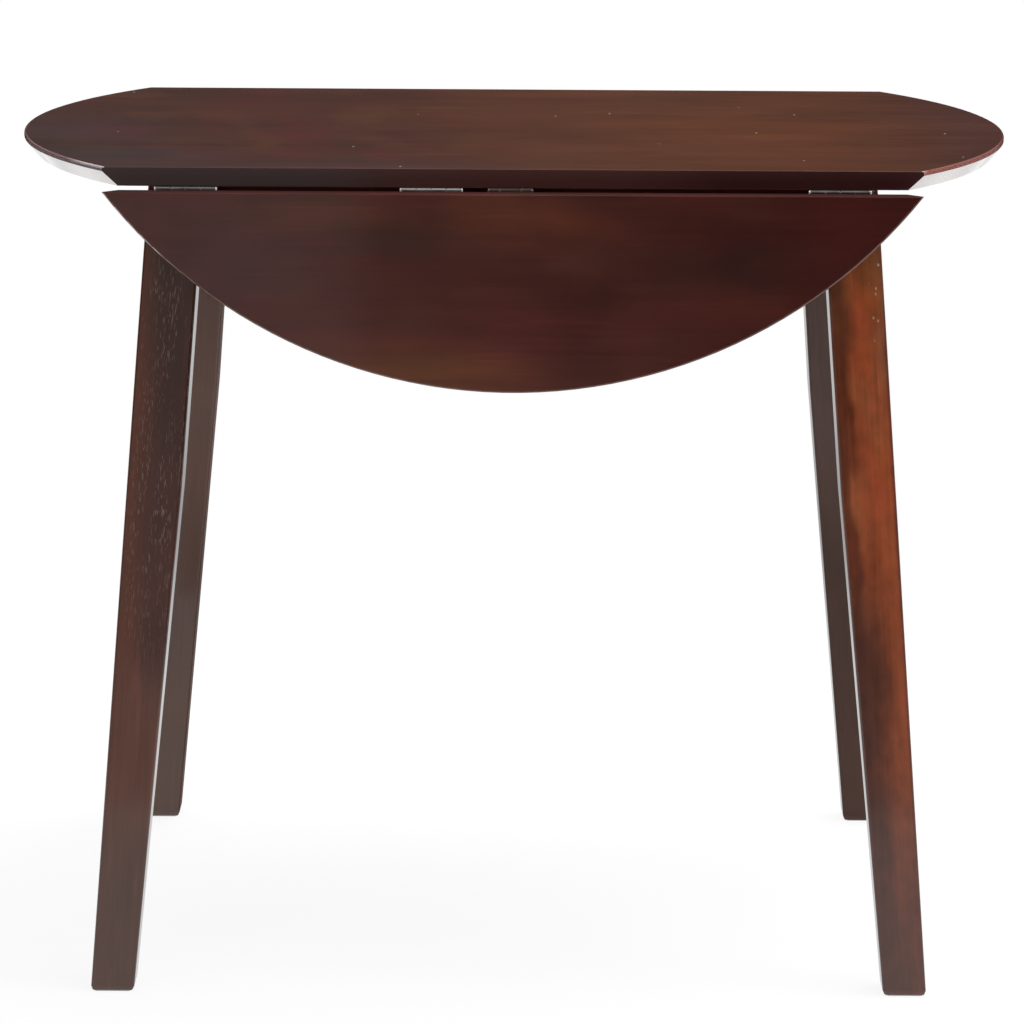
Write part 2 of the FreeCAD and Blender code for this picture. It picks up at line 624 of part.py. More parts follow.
def headed_pin(label, shank, head, held, half_length, place):
    """Pin along X with a wider head at both ends. held is half the width that the heads close on."""
    body = new_body(label)
    profile = new_sketch(body, f"{label}_profile", "XY_Plane")
    neck = f"({held} + Sizes.head_play)"
    add_polygon(profile, [(f"-{half_length}", "0"), (half_length, "0"), (half_length, head), (neck, head),
                          (neck, shank), (f"-{neck}", shank), (f"-{neck}", head), (f"-{half_length}", head)])
    revolve(body, profile, "H_Axis")
    end = value(half_length)
    round_edges(body, lambda points: abs(abs(points[0].x) - end) < TOLERANCE, "Sizes.head_round")
    body.Placement = place
    keep(body)


def knuckle_pin(label, held, place):
    """Hinge pin with peened heads."""
    headed_pin(label, "Sizes.pin_radius", "Sizes.knuckle_head_radius", held,
               f"({held} + Sizes.head_play + Sizes.knuckle_head_length)", place)


for (side, name), place in plate_places.items():
    hinge = f"{side}_{name}_hinge"
    hinge_plate(f"{hinge}_plate", place, hinge_screws_top)
    hinge_plate(f"{hinge}_flap", flap_places[side, name], hinge_screws_leaf[side])
    knuckle_pin(f"{hinge}_pin", "(Sizes.hinge_length / 2)", place)


# Leaf supports: a bracket under the top, an arm along the leaf and a brace from the one to the other.
# Local X is the hinge axis. The bracket lies towards +Y, and the arm is drawn the same way round as a plate.
HALF_WIDTH = "(Sizes.support_width / 2)"
HALF_ARM_KNUCKLE = "(Sizes.arm_knuckle / 2)"
HALF_ARM = "(Sizes.arm_width / 2)"
HALF_BRACE = "(Sizes.brace_width / 2)"
HALF_DEPTH = "(Sizes.brace_depth / 2)"
BRACKET_KNUCKLE = f"({HALF_WIDTH} - {HALF_ARM_KNUCKLE} - Sizes.knuckle_gap)"
LUG_FACE = f"({HALF_BRACE} + Sizes.lug_play)"
PIVOT_BORE = "Sizes.pivot_radius + Sizes.pin_play"
# The slide pin's axis keeps this level over the hinge axis, measured square to the leaf.
SLIDE_LEVEL = f"({FLANGE_FACE} - Sizes.slide_radius - Sizes.slide_play)"
PIVOT_RISE = f"(Sizes.pivot_drop + {SLIDE_LEVEL})"
brace_hanging = value(f"asin(({SLIDE_LEVEL} + Sizes.pivot_back) / Sizes.brace_length)")
brace_raised = 180 - value(f"acos({PIVOT_RISE} / Sizes.brace_length)")


def support_bracket(side):
    """Bent plate under the top and down the apron, with two knuckles and two lugs for the brace."""
    label = f"{side}_support_bracket"
    body = new_body(f"{label}_blank")
    bend = new_sketch(body, f"{label}_bend", "YZ_Plane")
    add_polygon(bend, [
        (KNUCKLE_ROOM, "Sizes.knuckle_radius"), (KNUCKLE_ROOM, FLANGE_FACE), (WEB_FACE, FLANGE_FACE),
        (WEB_FACE, "-Sizes.support_web_drop"), (APRON_BACK, "-Sizes.support_web_drop"),
        (APRON_BACK, "Sizes.knuckle_radius"),
    ])
    pad(body, bend, "Sizes.support_width", symmetric=True)
    tongue_end = f"({KNUCKLE_ROOM} + {SHEET})"
    for i, start in enumerate([f"-{HALF_WIDTH}", f"{HALF_ARM_KNUCKLE} + Sizes.knuckle_gap"]):
        tongue = new_sketch(body, f"{label}_tongue_{i}", "YZ_Plane", start)
        add_polygon(tongue, [("0", "Sizes.knuckle_radius"), ("0", FLANGE_FACE),
                             (tongue_end, FLANGE_FACE), (tongue_end, "Sizes.knuckle_radius")])
        pad(body, tongue, BRACKET_KNUCKLE)
        knuckle(body, f"{label}_knuckle_{i}", start, f"({start} + {BRACKET_KNUCKLE})")
    lug_root = f"({WEB_FACE} + {SHEET} / 2)"
    for i, start in enumerate([f"-{LUG_FACE} - Sizes.lug_sheet", LUG_FACE]):
        lug = new_sketch(body, f"{label}_lug_{i}", "YZ_Plane", start)
        add_polygon(lug, [
            ("Sizes.pivot_back", "-Sizes.pivot_drop + Sizes.pivot_eye"),
            (lug_root, "-Sizes.pivot_drop + Sizes.lug_rise"),
            (lug_root, "-Sizes.pivot_drop - Sizes.lug_fall"),
            ("Sizes.pivot_back", "-Sizes.pivot_drop - Sizes.pivot_eye"),
        ])
        pad(body, lug, "Sizes.lug_sheet")
        nose = new_sketch(body, f"{label}_nose_{i}", "YZ_Plane", start)
        add_circle(nose, "Sizes.pivot_back", "-Sizes.pivot_drop", "Sizes.pivot_eye")
        pad(body, nose, "Sizes.lug_sheet")
    bores = new_sketch(body, f"{label}_bores", "YZ_Plane")
    add_circle(bores, "0", "0", BORE)
    add_circle(bores, "Sizes.pivot_back", "-Sizes.pivot_drop", PIVOT_BORE)
    cut_through(body, bores)
    body.Placement = support_places[side]
    drilled(label, body, [support_screws_frame])


def support_arm(side):
    """Channel along the underside of the leaf, with the middle knuckle and a catch for the slide pin."""
    label = f"{side}_support_arm"
    body = new_body(f"{label}_blank")
    floor = new_sketch(body, f"{label}_floor", "XY_Plane", FLANGE_FACE)
    half = [
        (HALF_ARM_KNUCKLE, "0"), (HALF_ARM_KNUCKLE, KNUCKLE_ROOM), (HALF_WIDTH, KNUCKLE_ROOM),
        (HALF_WIDTH, "Sizes.arm_shoulder"), (HALF_ARM, f"Sizes.arm_shoulder + {HALF_WIDTH} - {HALF_ARM}"),
        (HALF_ARM, "Sizes.arm_length - Sizes.arm_corner"),
        (f"{HALF_ARM} - Sizes.arm_corner", "Sizes.arm_length"),
    ]
    add_polygon(floor, half + [(f"-({x})", y) for x, y in reversed(half)])
    pad(body, floor, SHEET)
    knuckle(body, f"{label}_knuckle", f"-{HALF_ARM_KNUCKLE}", HALF_ARM_KNUCKLE)
    root = f"({FLANGE_FACE} + {SHEET} / 2)"
    wall_tip = f"({FLANGE_FACE} - Sizes.arm_depth)"
    for i, start in enumerate([f"-{HALF_ARM}", f"{HALF_ARM} - {SHEET}"]):
        wall = new_sketch(body, f"{label}_wall_{i}", "YZ_Plane", start)
        add_polygon(wall, [("Sizes.wall_start", root), ("Sizes.wall_full", wall_tip),
                           ("Sizes.arm_length - Sizes.wall_fall", wall_tip),
                           ("Sizes.arm_length - Sizes.wall_end", root)])
        pad(body, wall, SHEET)
    slide_raised = f"(sqrt(Sizes.brace_length ^ 2 - {PIVOT_RISE} ^ 2) - Sizes.pivot_back)"
    catch_start = f"({slide_raised} + Sizes.slide_radius + Sizes.catch_play)"
    catch_end = f"({catch_start} + Sizes.catch_length)"
    catch_tip = f"({FLANGE_FACE} - Sizes.catch_height)"
    catch = new_sketch(body, f"{label}_catch", "YZ_Plane")
    add_polygon(catch, [(catch_start, root), (catch_end, root),
                        (catch_end, catch_tip), (catch_start, catch_tip)])
    pad(body, catch, HALF_ARM, symmetric=True)
    bore = new_sketch(body, f"{label}_bore", "YZ_Plane")
    add_circle(bore, "0", "0", BORE)
    cut_through(body, bore)
    body.Placement = arm_places[side]
    drilled(label, body, [support_screws_leaf[side]])


def support_brace(side, place):
    """Flat brace that hangs from its pivot, with a hole at each end."""
    label = f"{side}_support_brace"
    body = new_body(label)
    bar = new_sketch(body, f"{label}_bar", "YZ_Plane")
    add_polygon(bar, [(f"-{HALF_DEPTH}", "0"), (f"-{HALF_DEPTH}", "-Sizes.brace_length"),
                      (HALF_DEPTH, "-Sizes.brace_length"), (HALF_DEPTH, "0")])
    pad(body, bar, "Sizes.brace_width", symmetric=True)
    for end, level, radius in (("eye", "0", "Sizes.pivot_eye"), ("tip", "-Sizes.brace_length", HALF_DEPTH)):
        ring = new_sketch(body, f"{label}_{end}", "YZ_Plane")
        add_circle(ring, "0", level, radius)
        pad(body, ring, "Sizes.brace_width", symmetric=True)
    bores = new_sketch(body, f"{label}_bores", "YZ_Plane")
    add_circle(bores, "0", "0", PIVOT_BORE)
    add_circle(bores, "0", "-Sizes.brace_length", "Sizes.slide_radius / 2")
    cut_through(body, bores)
    body.Placement = place
    keep(body)


LUG_OUTSIDE = f"({LUG_FACE} + Sizes.lug_sheet)"
for side, place in support_places.items():
    support_bracket(side)
    support_arm(side)
    pivot = place * shift(0, value("Sizes.pivot_back"), -value("Sizes.pivot_drop")) * turn(X, -brace_hanging)
    slide = pivot * shift(0, 0, -value("Sizes.brace_length"))
    support_brace(side, pivot)
    knuckle_pin(f"{side}_support_knuckle_pin", HALF_WIDTH, place)
    headed_pin(f"{side}_support_pivot_pin", "Sizes.pivot_radius", "Sizes.pivot_head_radius", LUG_OUTSIDE,
               f"({LUG_OUTSIDE} + Sizes.head_play + Sizes.pivot_head_length)", pivot)
    headed_pin(f"{side}_support_slide_pin", "Sizes.slide_radius / 2", "Sizes.slide_radius", HALF_BRACE,
               "(Sizes.slide_width / 2)", slide)

doc.recompute()

# Nothing is written unless every object is sound.
for item in doc.Objects:
    if "Invalid" in item.State or "Error" in item.State:
        raise RuntimeError(f"{item.Name} failed: {item.State}")
for node in nodes:
    if node.Shape.isNull() or not node.Shape.isValid():
        raise RuntimeError(f"{node.Label} has no valid shape")

os.makedirs("parts", exist_ok=True)
for node in nodes:
    node.Shape.exportStep(f"parts/{node.Label}.step")

pivot_point = support_places["front"].multVec(V(0, value("Sizes.pivot_back"), -value("Sizes.pivot_drop")))
brace_travel = brace_raised - brace_hanging
print(f"{len(nodes)} pieces")
print(f"hinge axis at y {value(HINGE_Y):.3f}, z {value(HINGE_Z):.3f}")
print(f"brace pivot at y {pivot_point.y:.3f}, z {pivot_point.z:.3f}, turning {brace_travel:.4f} degrees")
print(f"brace degrees for each degree of the leaf: {brace_travel / 90:.5f}")
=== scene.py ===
"""Looks of the round drop-leaf table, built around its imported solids.

Metres, in the table's own frame: +Z up, hinge lines along X, the front leaf on the -Y side.
"""
import logging
import math
from dataclasses import dataclass
from enum import Enum

import bpy
from mathutils import Matrix, Vector


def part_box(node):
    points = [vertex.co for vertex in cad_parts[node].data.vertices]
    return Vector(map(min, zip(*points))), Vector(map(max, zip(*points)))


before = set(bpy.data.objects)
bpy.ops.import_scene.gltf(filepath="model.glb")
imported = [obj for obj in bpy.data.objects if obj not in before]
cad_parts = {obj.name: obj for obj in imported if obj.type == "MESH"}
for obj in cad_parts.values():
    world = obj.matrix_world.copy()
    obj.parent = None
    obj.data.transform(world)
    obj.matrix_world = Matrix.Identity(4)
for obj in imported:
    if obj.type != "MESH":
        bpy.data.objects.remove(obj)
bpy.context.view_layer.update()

LOG = logging.getLogger("drop_leaf_table")

Pair = tuple[float, float]
Triple = tuple[float, float, float]
WHITE: Triple = (1.0, 1.0, 1.0)
ORIGIN: Triple = (0.0, 0.0, 0.0)
RIGHT: Triple = (1.0, 0.0, 0.0)
BACK: Triple = (0.0, 1.0, 0.0)
FRONT: Triple = (0.0, -1.0, 0.0)
UP: Triple = (0.0, 0.0, 1.0)
DOWN: Triple = (0.0, 0.0, -1.0)

# Limits of a zone, in metres: where it starts and where it is full
EVERYWHERE: Pair = (-9.0, -8.0)
LEFT_HALF: Pair = (0.1, 0.0)
RIGHT_HALF: Pair = (0.0, 0.1)

NOISE_MEAN = 0.5
EDGE_SAMPLES = 4
TUMBLED: Triple = (700.0, 700.0, 700.0)


class Signal:
    """A shader value that can stand in a Python expression."""

    def __init__(self, tree: "ShaderTree", socket: bpy.types.NodeSocket) -> None:
        """Keep the tree and the output socket that carries the value."""
        self.tree = tree
        self.socket = socket

    def __add__(self, other: "Signal | float") -> "Signal":
        """Sum of two values."""
        return self.tree.math("ADD", self, other)

    def __sub__(self, other: "Signal | float") -> "Signal":
        """Difference of two values."""
        return self.tree.math("SUBTRACT", self, other)

    def __rsub__(self, other: float) -> "Signal":
        """Number less this value."""
        return self.tree.math("SUBTRACT", other, self)

    def __mul__(self, other: "Signal | float") -> "Signal":
        """Product of two values."""
        return self.tree.math("MULTIPLY", self, other)

    def __abs__(self) -> "Signal":
        """Value without its sign."""
        return self.tree.math("ABSOLUTE", self)

    __radd__ = __add__
    __rmul__ = __mul__

    def step(self, low: float, high: float) -> "Signal":
        """Smooth step from 0 at low to 1 at high, either way round."""
        return self.tree.node("ShaderNodeMapRange", {"interpolation_type": "SMOOTHSTEP"},
                              {"Value": self, "From Min": low, "From Max": high})

    def swing(self) -> "Signal":
        """Noise less its mean, so that it goes both ways from 0."""
        return self - NOISE_MEAN

    def beside(self, *names: str) -> "list[Signal]":
        """Other outputs of the node that gives this value."""
        return [Signal(self.tree, self.socket.node.outputs[name]) for name in names]


class ShaderTree:
    """Adds nodes to the tree of one material or world."""

    def __init__(self, tree: bpy.types.NodeTree) -> None:
        """Start with an empty tree."""
        self.tree = tree
        tree.nodes.clear()

    def node(self, kind: str, settings: dict, sockets: dict, output: int | str = 0) -> Signal:
        """Add any node.

        Args:
            kind: the node's type.
            settings: its properties, set before its sockets.
            sockets: values or signals by the socket's name, identifier or number.
            output: name, identifier or number of the output that is wanted.

        Returns:
            The output as a signal.
        """
        made = self.tree.nodes.new(kind)
        for name, setting in settings.items():
            setattr(made, name, setting)
        for key, value in sockets.items():
            self._feed(self._find(made.inputs, key), value)
        return Signal(self, self._find(made.outputs, output))

    def close(self, kind: str, shader: Signal) -> None:
        """Link a shader to a new output node of the given type."""
        output = self.tree.nodes.new(kind)
        self.tree.links.new(shader.socket, output.inputs["Surface"])

    def _find(self, sockets: bpy.types.bpy_prop_collection, key: int | str) -> bpy.types.NodeSocket:
        """Find one socket of a node.

        Args:
            sockets: inputs or outputs of the node.
            key: the socket's number, identifier or name.

        Returns:
            The socket.
        """
        if isinstance(key, int):
            return sockets[key]
        return next(socket for socket in sockets if key in (socket.identifier, socket.name))

    def _feed(self, socket: bpy.types.NodeSocket, value: "Signal | float | Triple") -> None:
        """Link a signal to a socket, or set the socket's own value.

        Args:
            socket: the input.
            value: a signal, a number, a vector or a colour.
        """
        if isinstance(value, Signal):
            self.tree.links.new(value.socket, socket)
        elif socket.type == "RGBA":
            socket.default_value = (*value, 1.0)
        else:
            socket.default_value = value

    def math(self, operation: str, *values: "Signal | float") -> Signal:
        """Math node on one or two values."""
        return self.node("ShaderNodeMath", {"operation": operation}, dict(enumerate(values)))

    def vector(self, operation: str, *values: "Signal | Triple", output: str = "Vector") -> Signal:
        """Vector Math node on one or two vectors."""
        settings = {"operation": operation}
        return self.node("ShaderNodeVectorMath", settings, dict(enumerate(values)), output)

    def length(self, vector: Signal) -> Signal:
        """Length of a vector."""
        return self.vector("LENGTH", vector, output="Value")

    def dot(self, first: Signal, second: "Signal | Triple") -> Signal:
        """Dot product of two vectors."""
        return self.vector("DOT_PRODUCT", first, second, output="Value")

    def towards(self, axis: Triple) -> Signal:
        """1 where the surface looks along the axis, -1 where it looks the other way."""
        return self.dot(self.coordinates("Normal"), axis)

    def scaled(self, colour: "Signal | Triple", factor: Signal) -> Signal:
        """Colour made lighter or darker."""
        return self.node("ShaderNodeVectorMath", {"operation": "SCALE"}, {0: colour, "Scale": factor})

    def mix(self, first: "Signal | Triple", second: "Signal | Triple", factor: Signal) -> Signal:
        """Colour between two others."""
        return self.node("ShaderNodeMix", {"data_type": "RGBA"},
                         {"Factor_Float": factor, "A_Color": first, "B_Color": second}, "Result_Color")

    def blended(self, first: Signal, second: Signal, factor: Signal) -> Signal:
        """Shader between two others."""
        return self.node("ShaderNodeMixShader", {}, {0: factor, 1: first, 2: second})

    def split(self, vector: Signal) -> list[Signal]:
        """Three parts of a vector."""
        return self.node("ShaderNodeSeparateXYZ", {}, {"Vector": vector}).beside("X", "Y", "Z")

    def joined(self, x: Signal, y: Signal, z: Signal) -> Signal:
        """Vector from its three parts."""
        return self.node("ShaderNodeCombineXYZ", {}, {"X": x, "Y": y, "Z": z})

    def coordinates(self, output: str) -> Signal:
        """One of the texture coordinates."""
        return self.node("ShaderNodeTexCoord", {}, {}, output)

    def noise(self, place: Signal, waves: Triple, detail: float = 2.0) -> Signal:
        """Soft noise from 0 to 1, with its own number of waves per metre along each axis."""
        stretched = self.vector("MULTIPLY", place, waves)
        return self.node("ShaderNodeTexNoise", {},
                         {"Vector": stretched, "Scale": 1.0, "Detail": detail}, "Fac")

    def arris(self, radius: float, full: float) -> Signal:
        """Mask that is 1 along the edges of the solid.

        Args:
            radius: how far from an edge the mask reaches.
            full: bend of the surface, from 0 to 1, at which the mask is full.

        Returns:
            The mask.
        """
        rounded = self.node("ShaderNodeBevel", {"samples": EDGE_SAMPLES}, {"Radius": radius})
        plain = self.node("ShaderNodeNewGeometry", {}, {}, "Normal")
        return (1 - self.dot(rounded, plain)).step(0.0, full)

    def bump(self, height: Signal, depth: float, strength: float) -> Signal:
        """Normal of a surface with a relief of the given depth."""
        return self.node("ShaderNodeBump", {},
                         {"Strength": strength, "Distance": depth, "Height": height})


def new_material(name: str) -> tuple[bpy.types.Material, ShaderTree]:
    """Start an empty material.

    Args:
        name: name of the material.

    Returns:
        The material and the builder of its tree.
    """
    material = bpy.data.materials.new(name)
    material.use_nodes = True
    return material, ShaderTree(material.node_tree)


def paint(node: str, material: bpy.types.Material) -> None:
    """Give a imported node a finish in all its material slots.

    Args:
        node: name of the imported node.
        material: its finish.
    """
    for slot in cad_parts[node].material_slots:
        slot.material = material
    LOG.info("%s: %s", node, material.name)


class Grain(Enum):
    """Axis that the wood's fibres follow, the axis across its broad face and the axis through it."""

    LEVEL_BOARD = (0, 1, 2)
    UPRIGHT_BOARD = (0, 2, 1)
    END_BOARD = (1, 2, 0)
    POST = (2, 0, 1)


@dataclass(frozen=True)
class Figure:
    """Waves per metre of a plank's markings, along its fibres and then across them.

    A marking's limits are the noise values at which it starts and is full. Its share is its strength.
    """

    sway: Triple = (1.6, 7.0, 7.0)
    sway_reach: float = 0.014
    bands: Triple = (1.5, 30.0, 30.0)
    band_limits: Pair = (0.54, 0.74)
    patches: Triple = (5.0, 11.0, 11.0)
    brown_limits: Pair = (0.46, 0.70)
    red_limits: Pair = (0.48, 0.70)
    red_shift: Triple = (11.3, 4.1, 2.7)
    stain_share: float = 0.8
    streaks: Triple = (7.0, 280.0, 280.0)
    streak_share: float = 0.45
    fibres: Triple = (26.0, 1300.0, 1300.0)
    fibre_share: float = 0.25
    gleams: Triple = (9.0, 170.0, 170.0)
    gleam_limits: Pair = (0.64, 0.74)
    gleam_share: float = 0.22
    clouds: Triple = (12.0, 18.0, 18.0)
    rubs: Triple = (30.0, 60.0, 60.0)
    rub_limits: Pair = (0.42, 0.66)


@dataclass(frozen=True)
class Stain:
    """Colours of one piece: its body, dark bands, brown and red patches, and straight-cut faces."""

    body: Triple
    deep: Triple
    brown: Triple
    red: Triple
    cut: Triple


@dataclass(frozen=True)
class Zone:
    """Band of another tone, from nothing to full along a piece and across it.

    Along a leg is its height above the floor, and across it is the distance from the leg's middle line.
    """

    across: Pair = EVERYWHERE
    along: Pair = EVERYWHERE
    wander: float = 0.03

    def mask(self, tree: ShaderTree, straight: Signal, drift: Signal | float = 0.0) -> Signal:
        """1 inside the band, 0 outside it, with an edge that wanders as the drift says."""
        along, across, _ = tree.split(straight)
        return (across + self.wander * drift).step(*self.across) * along.step(*self.along)


@dataclass(frozen=True)
class Spot:
    """Soft round patch where the stain took unevenly.

    Its middle and reach are along the piece and across it. It fades between two shares of its reach.
    """

    middle: Pair
    reach: Pair
    tone: Triple
    share: float = 0.5
    fade: Pair = (1.2, 0.0)

    def mask(self, tree: ShaderTree, straight: Signal, wander: Signal) -> Signal:
        """Mask that is full in the middle of the patch and nothing outside it.

        Args:
            tree: tree of the material.
            straight: place in the piece.
            wander: how far the edge strays.

        Returns:
            The mask.
        """
        away = tree.vector("SUBTRACT", straight, (*self.middle, 0.0))
        shares = (1.0 / self.reach[0], 1.0 / self.reach[1], 0.0)
        distance = tree.length(tree.vector("MULTIPLY", away, shares))
        return (distance + wander).step(*self.fade) * self.share


@dataclass(frozen=True)
class Pores:
    """Open pores along the fibres, in loose groups inside one zone."""

    zone: Zone
    tone: Triple = (0.150, 0.098, 0.080)
    groups: Triple = (9.0, 70.0, 70.0)
    group_limits: Pair = (0.34, 0.54)
    dashes: Triple = (120.0, 1100.0, 1100.0)
    dash_limits: Pair = (0.60, 0.68)
    share: float = 0.75
    depth: float = 0.5

    def mask(self, tree: ShaderTree, straight: Signal, place: Signal) -> Signal:
        """Mask of short dashes, one beside the other.

        Args:
            tree: tree of the material.
            straight: place in the piece.
            place: place in the plank.

        Returns:
            The mask.
        """
        groups = tree.noise(place, self.groups).step(*self.group_limits)
        dashes = tree.noise(place, self.dashes, detail=1.0).step(*self.dash_limits)
        return groups * dashes * self.zone.mask(tree, straight) * self.share


@dataclass(frozen=True)
class Specks:
    """Dust set into the lacquer: pale specks on the faces that look along an axis, inside one zone.

    Cells are counted per metre. A share of them holds a speck, whose radius is measured in cells.
    """

    axis: Triple
    share: float
    cells: Triple
    radius: float
    tone: Triple
    zone: Zone = Zone()
    chance_blend: float = 0.02
    faintest: float = 0.35
    core: float = 0.6
    facing: Pair = (0.90, 0.97)

    def mask(self, tree: ShaderTree, straight: Signal) -> Signal:
        """Mask of round specks, some fainter than others.

        Args:
            tree: tree of the material.
            straight: place in the piece.

        Returns:
            The mask.
        """
        stretched = tree.vector("MULTIPLY", straight, self.cells)
        distance = tree.node("ShaderNodeTexVoronoi", {"voronoi_dimensions": "2D"},
                             {"Vector": stretched, "Scale": 1.0}, "Distance")
        chance, size, _ = tree.split(distance.beside("Color")[0])
        empty = 1.0 - self.share
        chosen = chance.step(empty, empty + self.chance_blend)
        strength = self.faintest + (1.0 - self.faintest) * size
        facing = abs(tree.towards(self.axis)).step(*self.facing)
        speck = distance.step(self.radius, self.core * self.radius)
        return speck * chosen * strength * facing * self.zone.mask(tree, straight)


@dataclass(frozen=True)
class Rim:
    """Round edge of a board, with a paler corner, an upright band and a bevel below it.

    It holds the middle of the board's circle, the way its underside looks, how far its face lies the
    other way, and the tones of the band and the corner. The corner tone is partly rubbed lacquer and
    partly a painted highlight along the arris. A stretch is a zone with two tones of its own.
    """

    middle: Triple
    under: Triple
    face: float
    band_tone: Triple
    corner_rub_and_highlight_tone: Triple
    stretches: tuple[tuple[Zone, Triple, Triple], ...] = ()
    bead_tone: Triple = (0.080, 0.030, 0.023)
    bevel_start: float = 0.4405
    corner_start: float = 0.4550
    corner_depth: float = 0.0015
    blend: float = 0.0006
    bevel_slope: Pair = (0.30, 0.50)
    under_slope: Pair = (0.95, 0.85)

    def reach(self, tree: ShaderTree) -> Signal:
        """Distance from the middle of the circle, in the plane of the board.

        Args:
            tree: tree of the material.

        Returns:
            The distance.
        """
        flat = tuple(1.0 - abs(part) for part in self.under)
        spoke = tree.vector("SUBTRACT", tree.coordinates("Object"), self.middle)
        return tree.length(tree.vector("MULTIPLY", spoke, flat))

    def depth(self, tree: ShaderTree) -> Signal:
        """Distance below the face of the board."""
        return tree.dot(tree.coordinates("Object"), self.under) + self.face

    def corner(self, tree: ShaderTree) -> Signal:
        """1 on the rounded corner between the face and the band."""
        near = self.depth(tree).step(self.corner_depth + self.blend, self.corner_depth)
        return near * self.reach(tree).step(self.corner_start, self.corner_start + self.blend)

    def side(self, tree: ShaderTree) -> Signal:
        """1 on the band and the bevel."""
        below = self.depth(tree).step(self.corner_depth, self.corner_depth + self.blend)
        return below * self.reach(tree).step(self.bevel_start, self.bevel_start + self.blend)

    def bevel(self, tree: ShaderTree) -> Signal:
        """1 on the faces that slant between the band and the underside."""
        slope = tree.towards(self.under)
        return slope.step(*self.bevel_slope) * slope.step(*self.under_slope) * self.side(tree)

    def coloured(self, tree: ShaderTree, straight: Signal, colour: Signal, uncut: Signal) -> Signal:
        """Colour of a board with its round edge.

        Args:
            tree: tree of the material.
            straight: place in the board.
            colour: colour of the rest of the board.
            uncut: 1 except on straight-cut faces.

        Returns:
            The colour.
        """
        band, corner = self.side(tree) * uncut, self.corner(tree) * uncut
        colour = tree.mix(colour, self.band_tone, band)
        # Paler corner: partly rubbed lacquer, partly a painted highlight along the arris.
        colour = tree.mix(colour, self.corner_rub_and_highlight_tone, corner)
        for zone, band_tone, corner_rub_and_highlight_tone in self.stretches:
            stretch = zone.mask(tree, straight)
            colour = tree.mix(colour, band_tone, band * stretch)
            colour = tree.mix(colour, corner_rub_and_highlight_tone, corner * stretch)
        return colour

    def bead(self, tree: ShaderTree) -> Signal:
        """Thick, hard-polished lacquer that gathers on the bevel."""
        return tree.node("ShaderNodeBsdfPrincipled", {}, {
            "Base Color": self.bead_tone,
            "Roughness": 0.14,
            "Specular IOR Level": 0.6,
            "Coat Weight": 1.0,
            "Coat Roughness": 0.05,
            "Coat IOR": 1.7,
        })


@dataclass(frozen=True)
class Lacquer:
    """Satin lacquer over stained wood, duller and thinner on straight-cut faces and along edges.

    Faces that look along the dull axis are rubbed down less finely than the rest and have no coat.
    """

    roughness: float = 0.33
    coat: float = 0.5
    cut_dulling: float = 0.05
    cut_coat: float = 0.42
    edge_dulling: float = 0.12
    edge_thinning: float = 0.15
    streak_dulling: float = 0.12
    patch_dulling: float = 0.10
    dull_axis: Triple | None = None
    dull_limits: Pair = (0.30, 0.65)
    dulling: float = 0.35
    relief_depth: float = 0.0003
    relief_strength: float = 0.2

    def uneven(self, streaks: Signal, patches: Signal) -> Signal:
        """Roughness that the streaks and patches add or take away."""
        return self.streak_dulling * streaks.swing() + self.patch_dulling * patches.swing()

    def over(self, tree: ShaderTree, colour: Signal, relief: Signal, uneven: Signal, cut: Signal,
             edges: Signal) -> Signal:
        """Shader of the lacquered wood.

        Args:
            tree: tree of the material.
            colour: colour of the wood.
            relief: height of the grain that shows through.
            uneven: roughness that the grain adds.
            cut: 1 on straight-cut faces.
            edges: 1 along the edges.

        Returns:
            The shader.
        """
        dull = tree.towards(self.dull_axis).step(*self.dull_limits) if self.dull_axis else 0.0
        roughness = self.roughness + uneven + self.cut_dulling * cut + self.edge_dulling * edges
        coat = self.coat - (self.coat - self.cut_coat) * cut - self.edge_thinning * edges
        return tree.node("ShaderNodeBsdfPrincipled", {}, {
            "Base Color": colour,
            "Roughness": roughness + self.dulling * dull,
            "Specular IOR Level": 0.45,
            "Coat Weight": coat * (1 - dull),
            "Coat Roughness": 0.09,
            "Coat IOR": 1.5,
            "Normal": tree.bump(relief, self.relief_depth, self.relief_strength),
        })


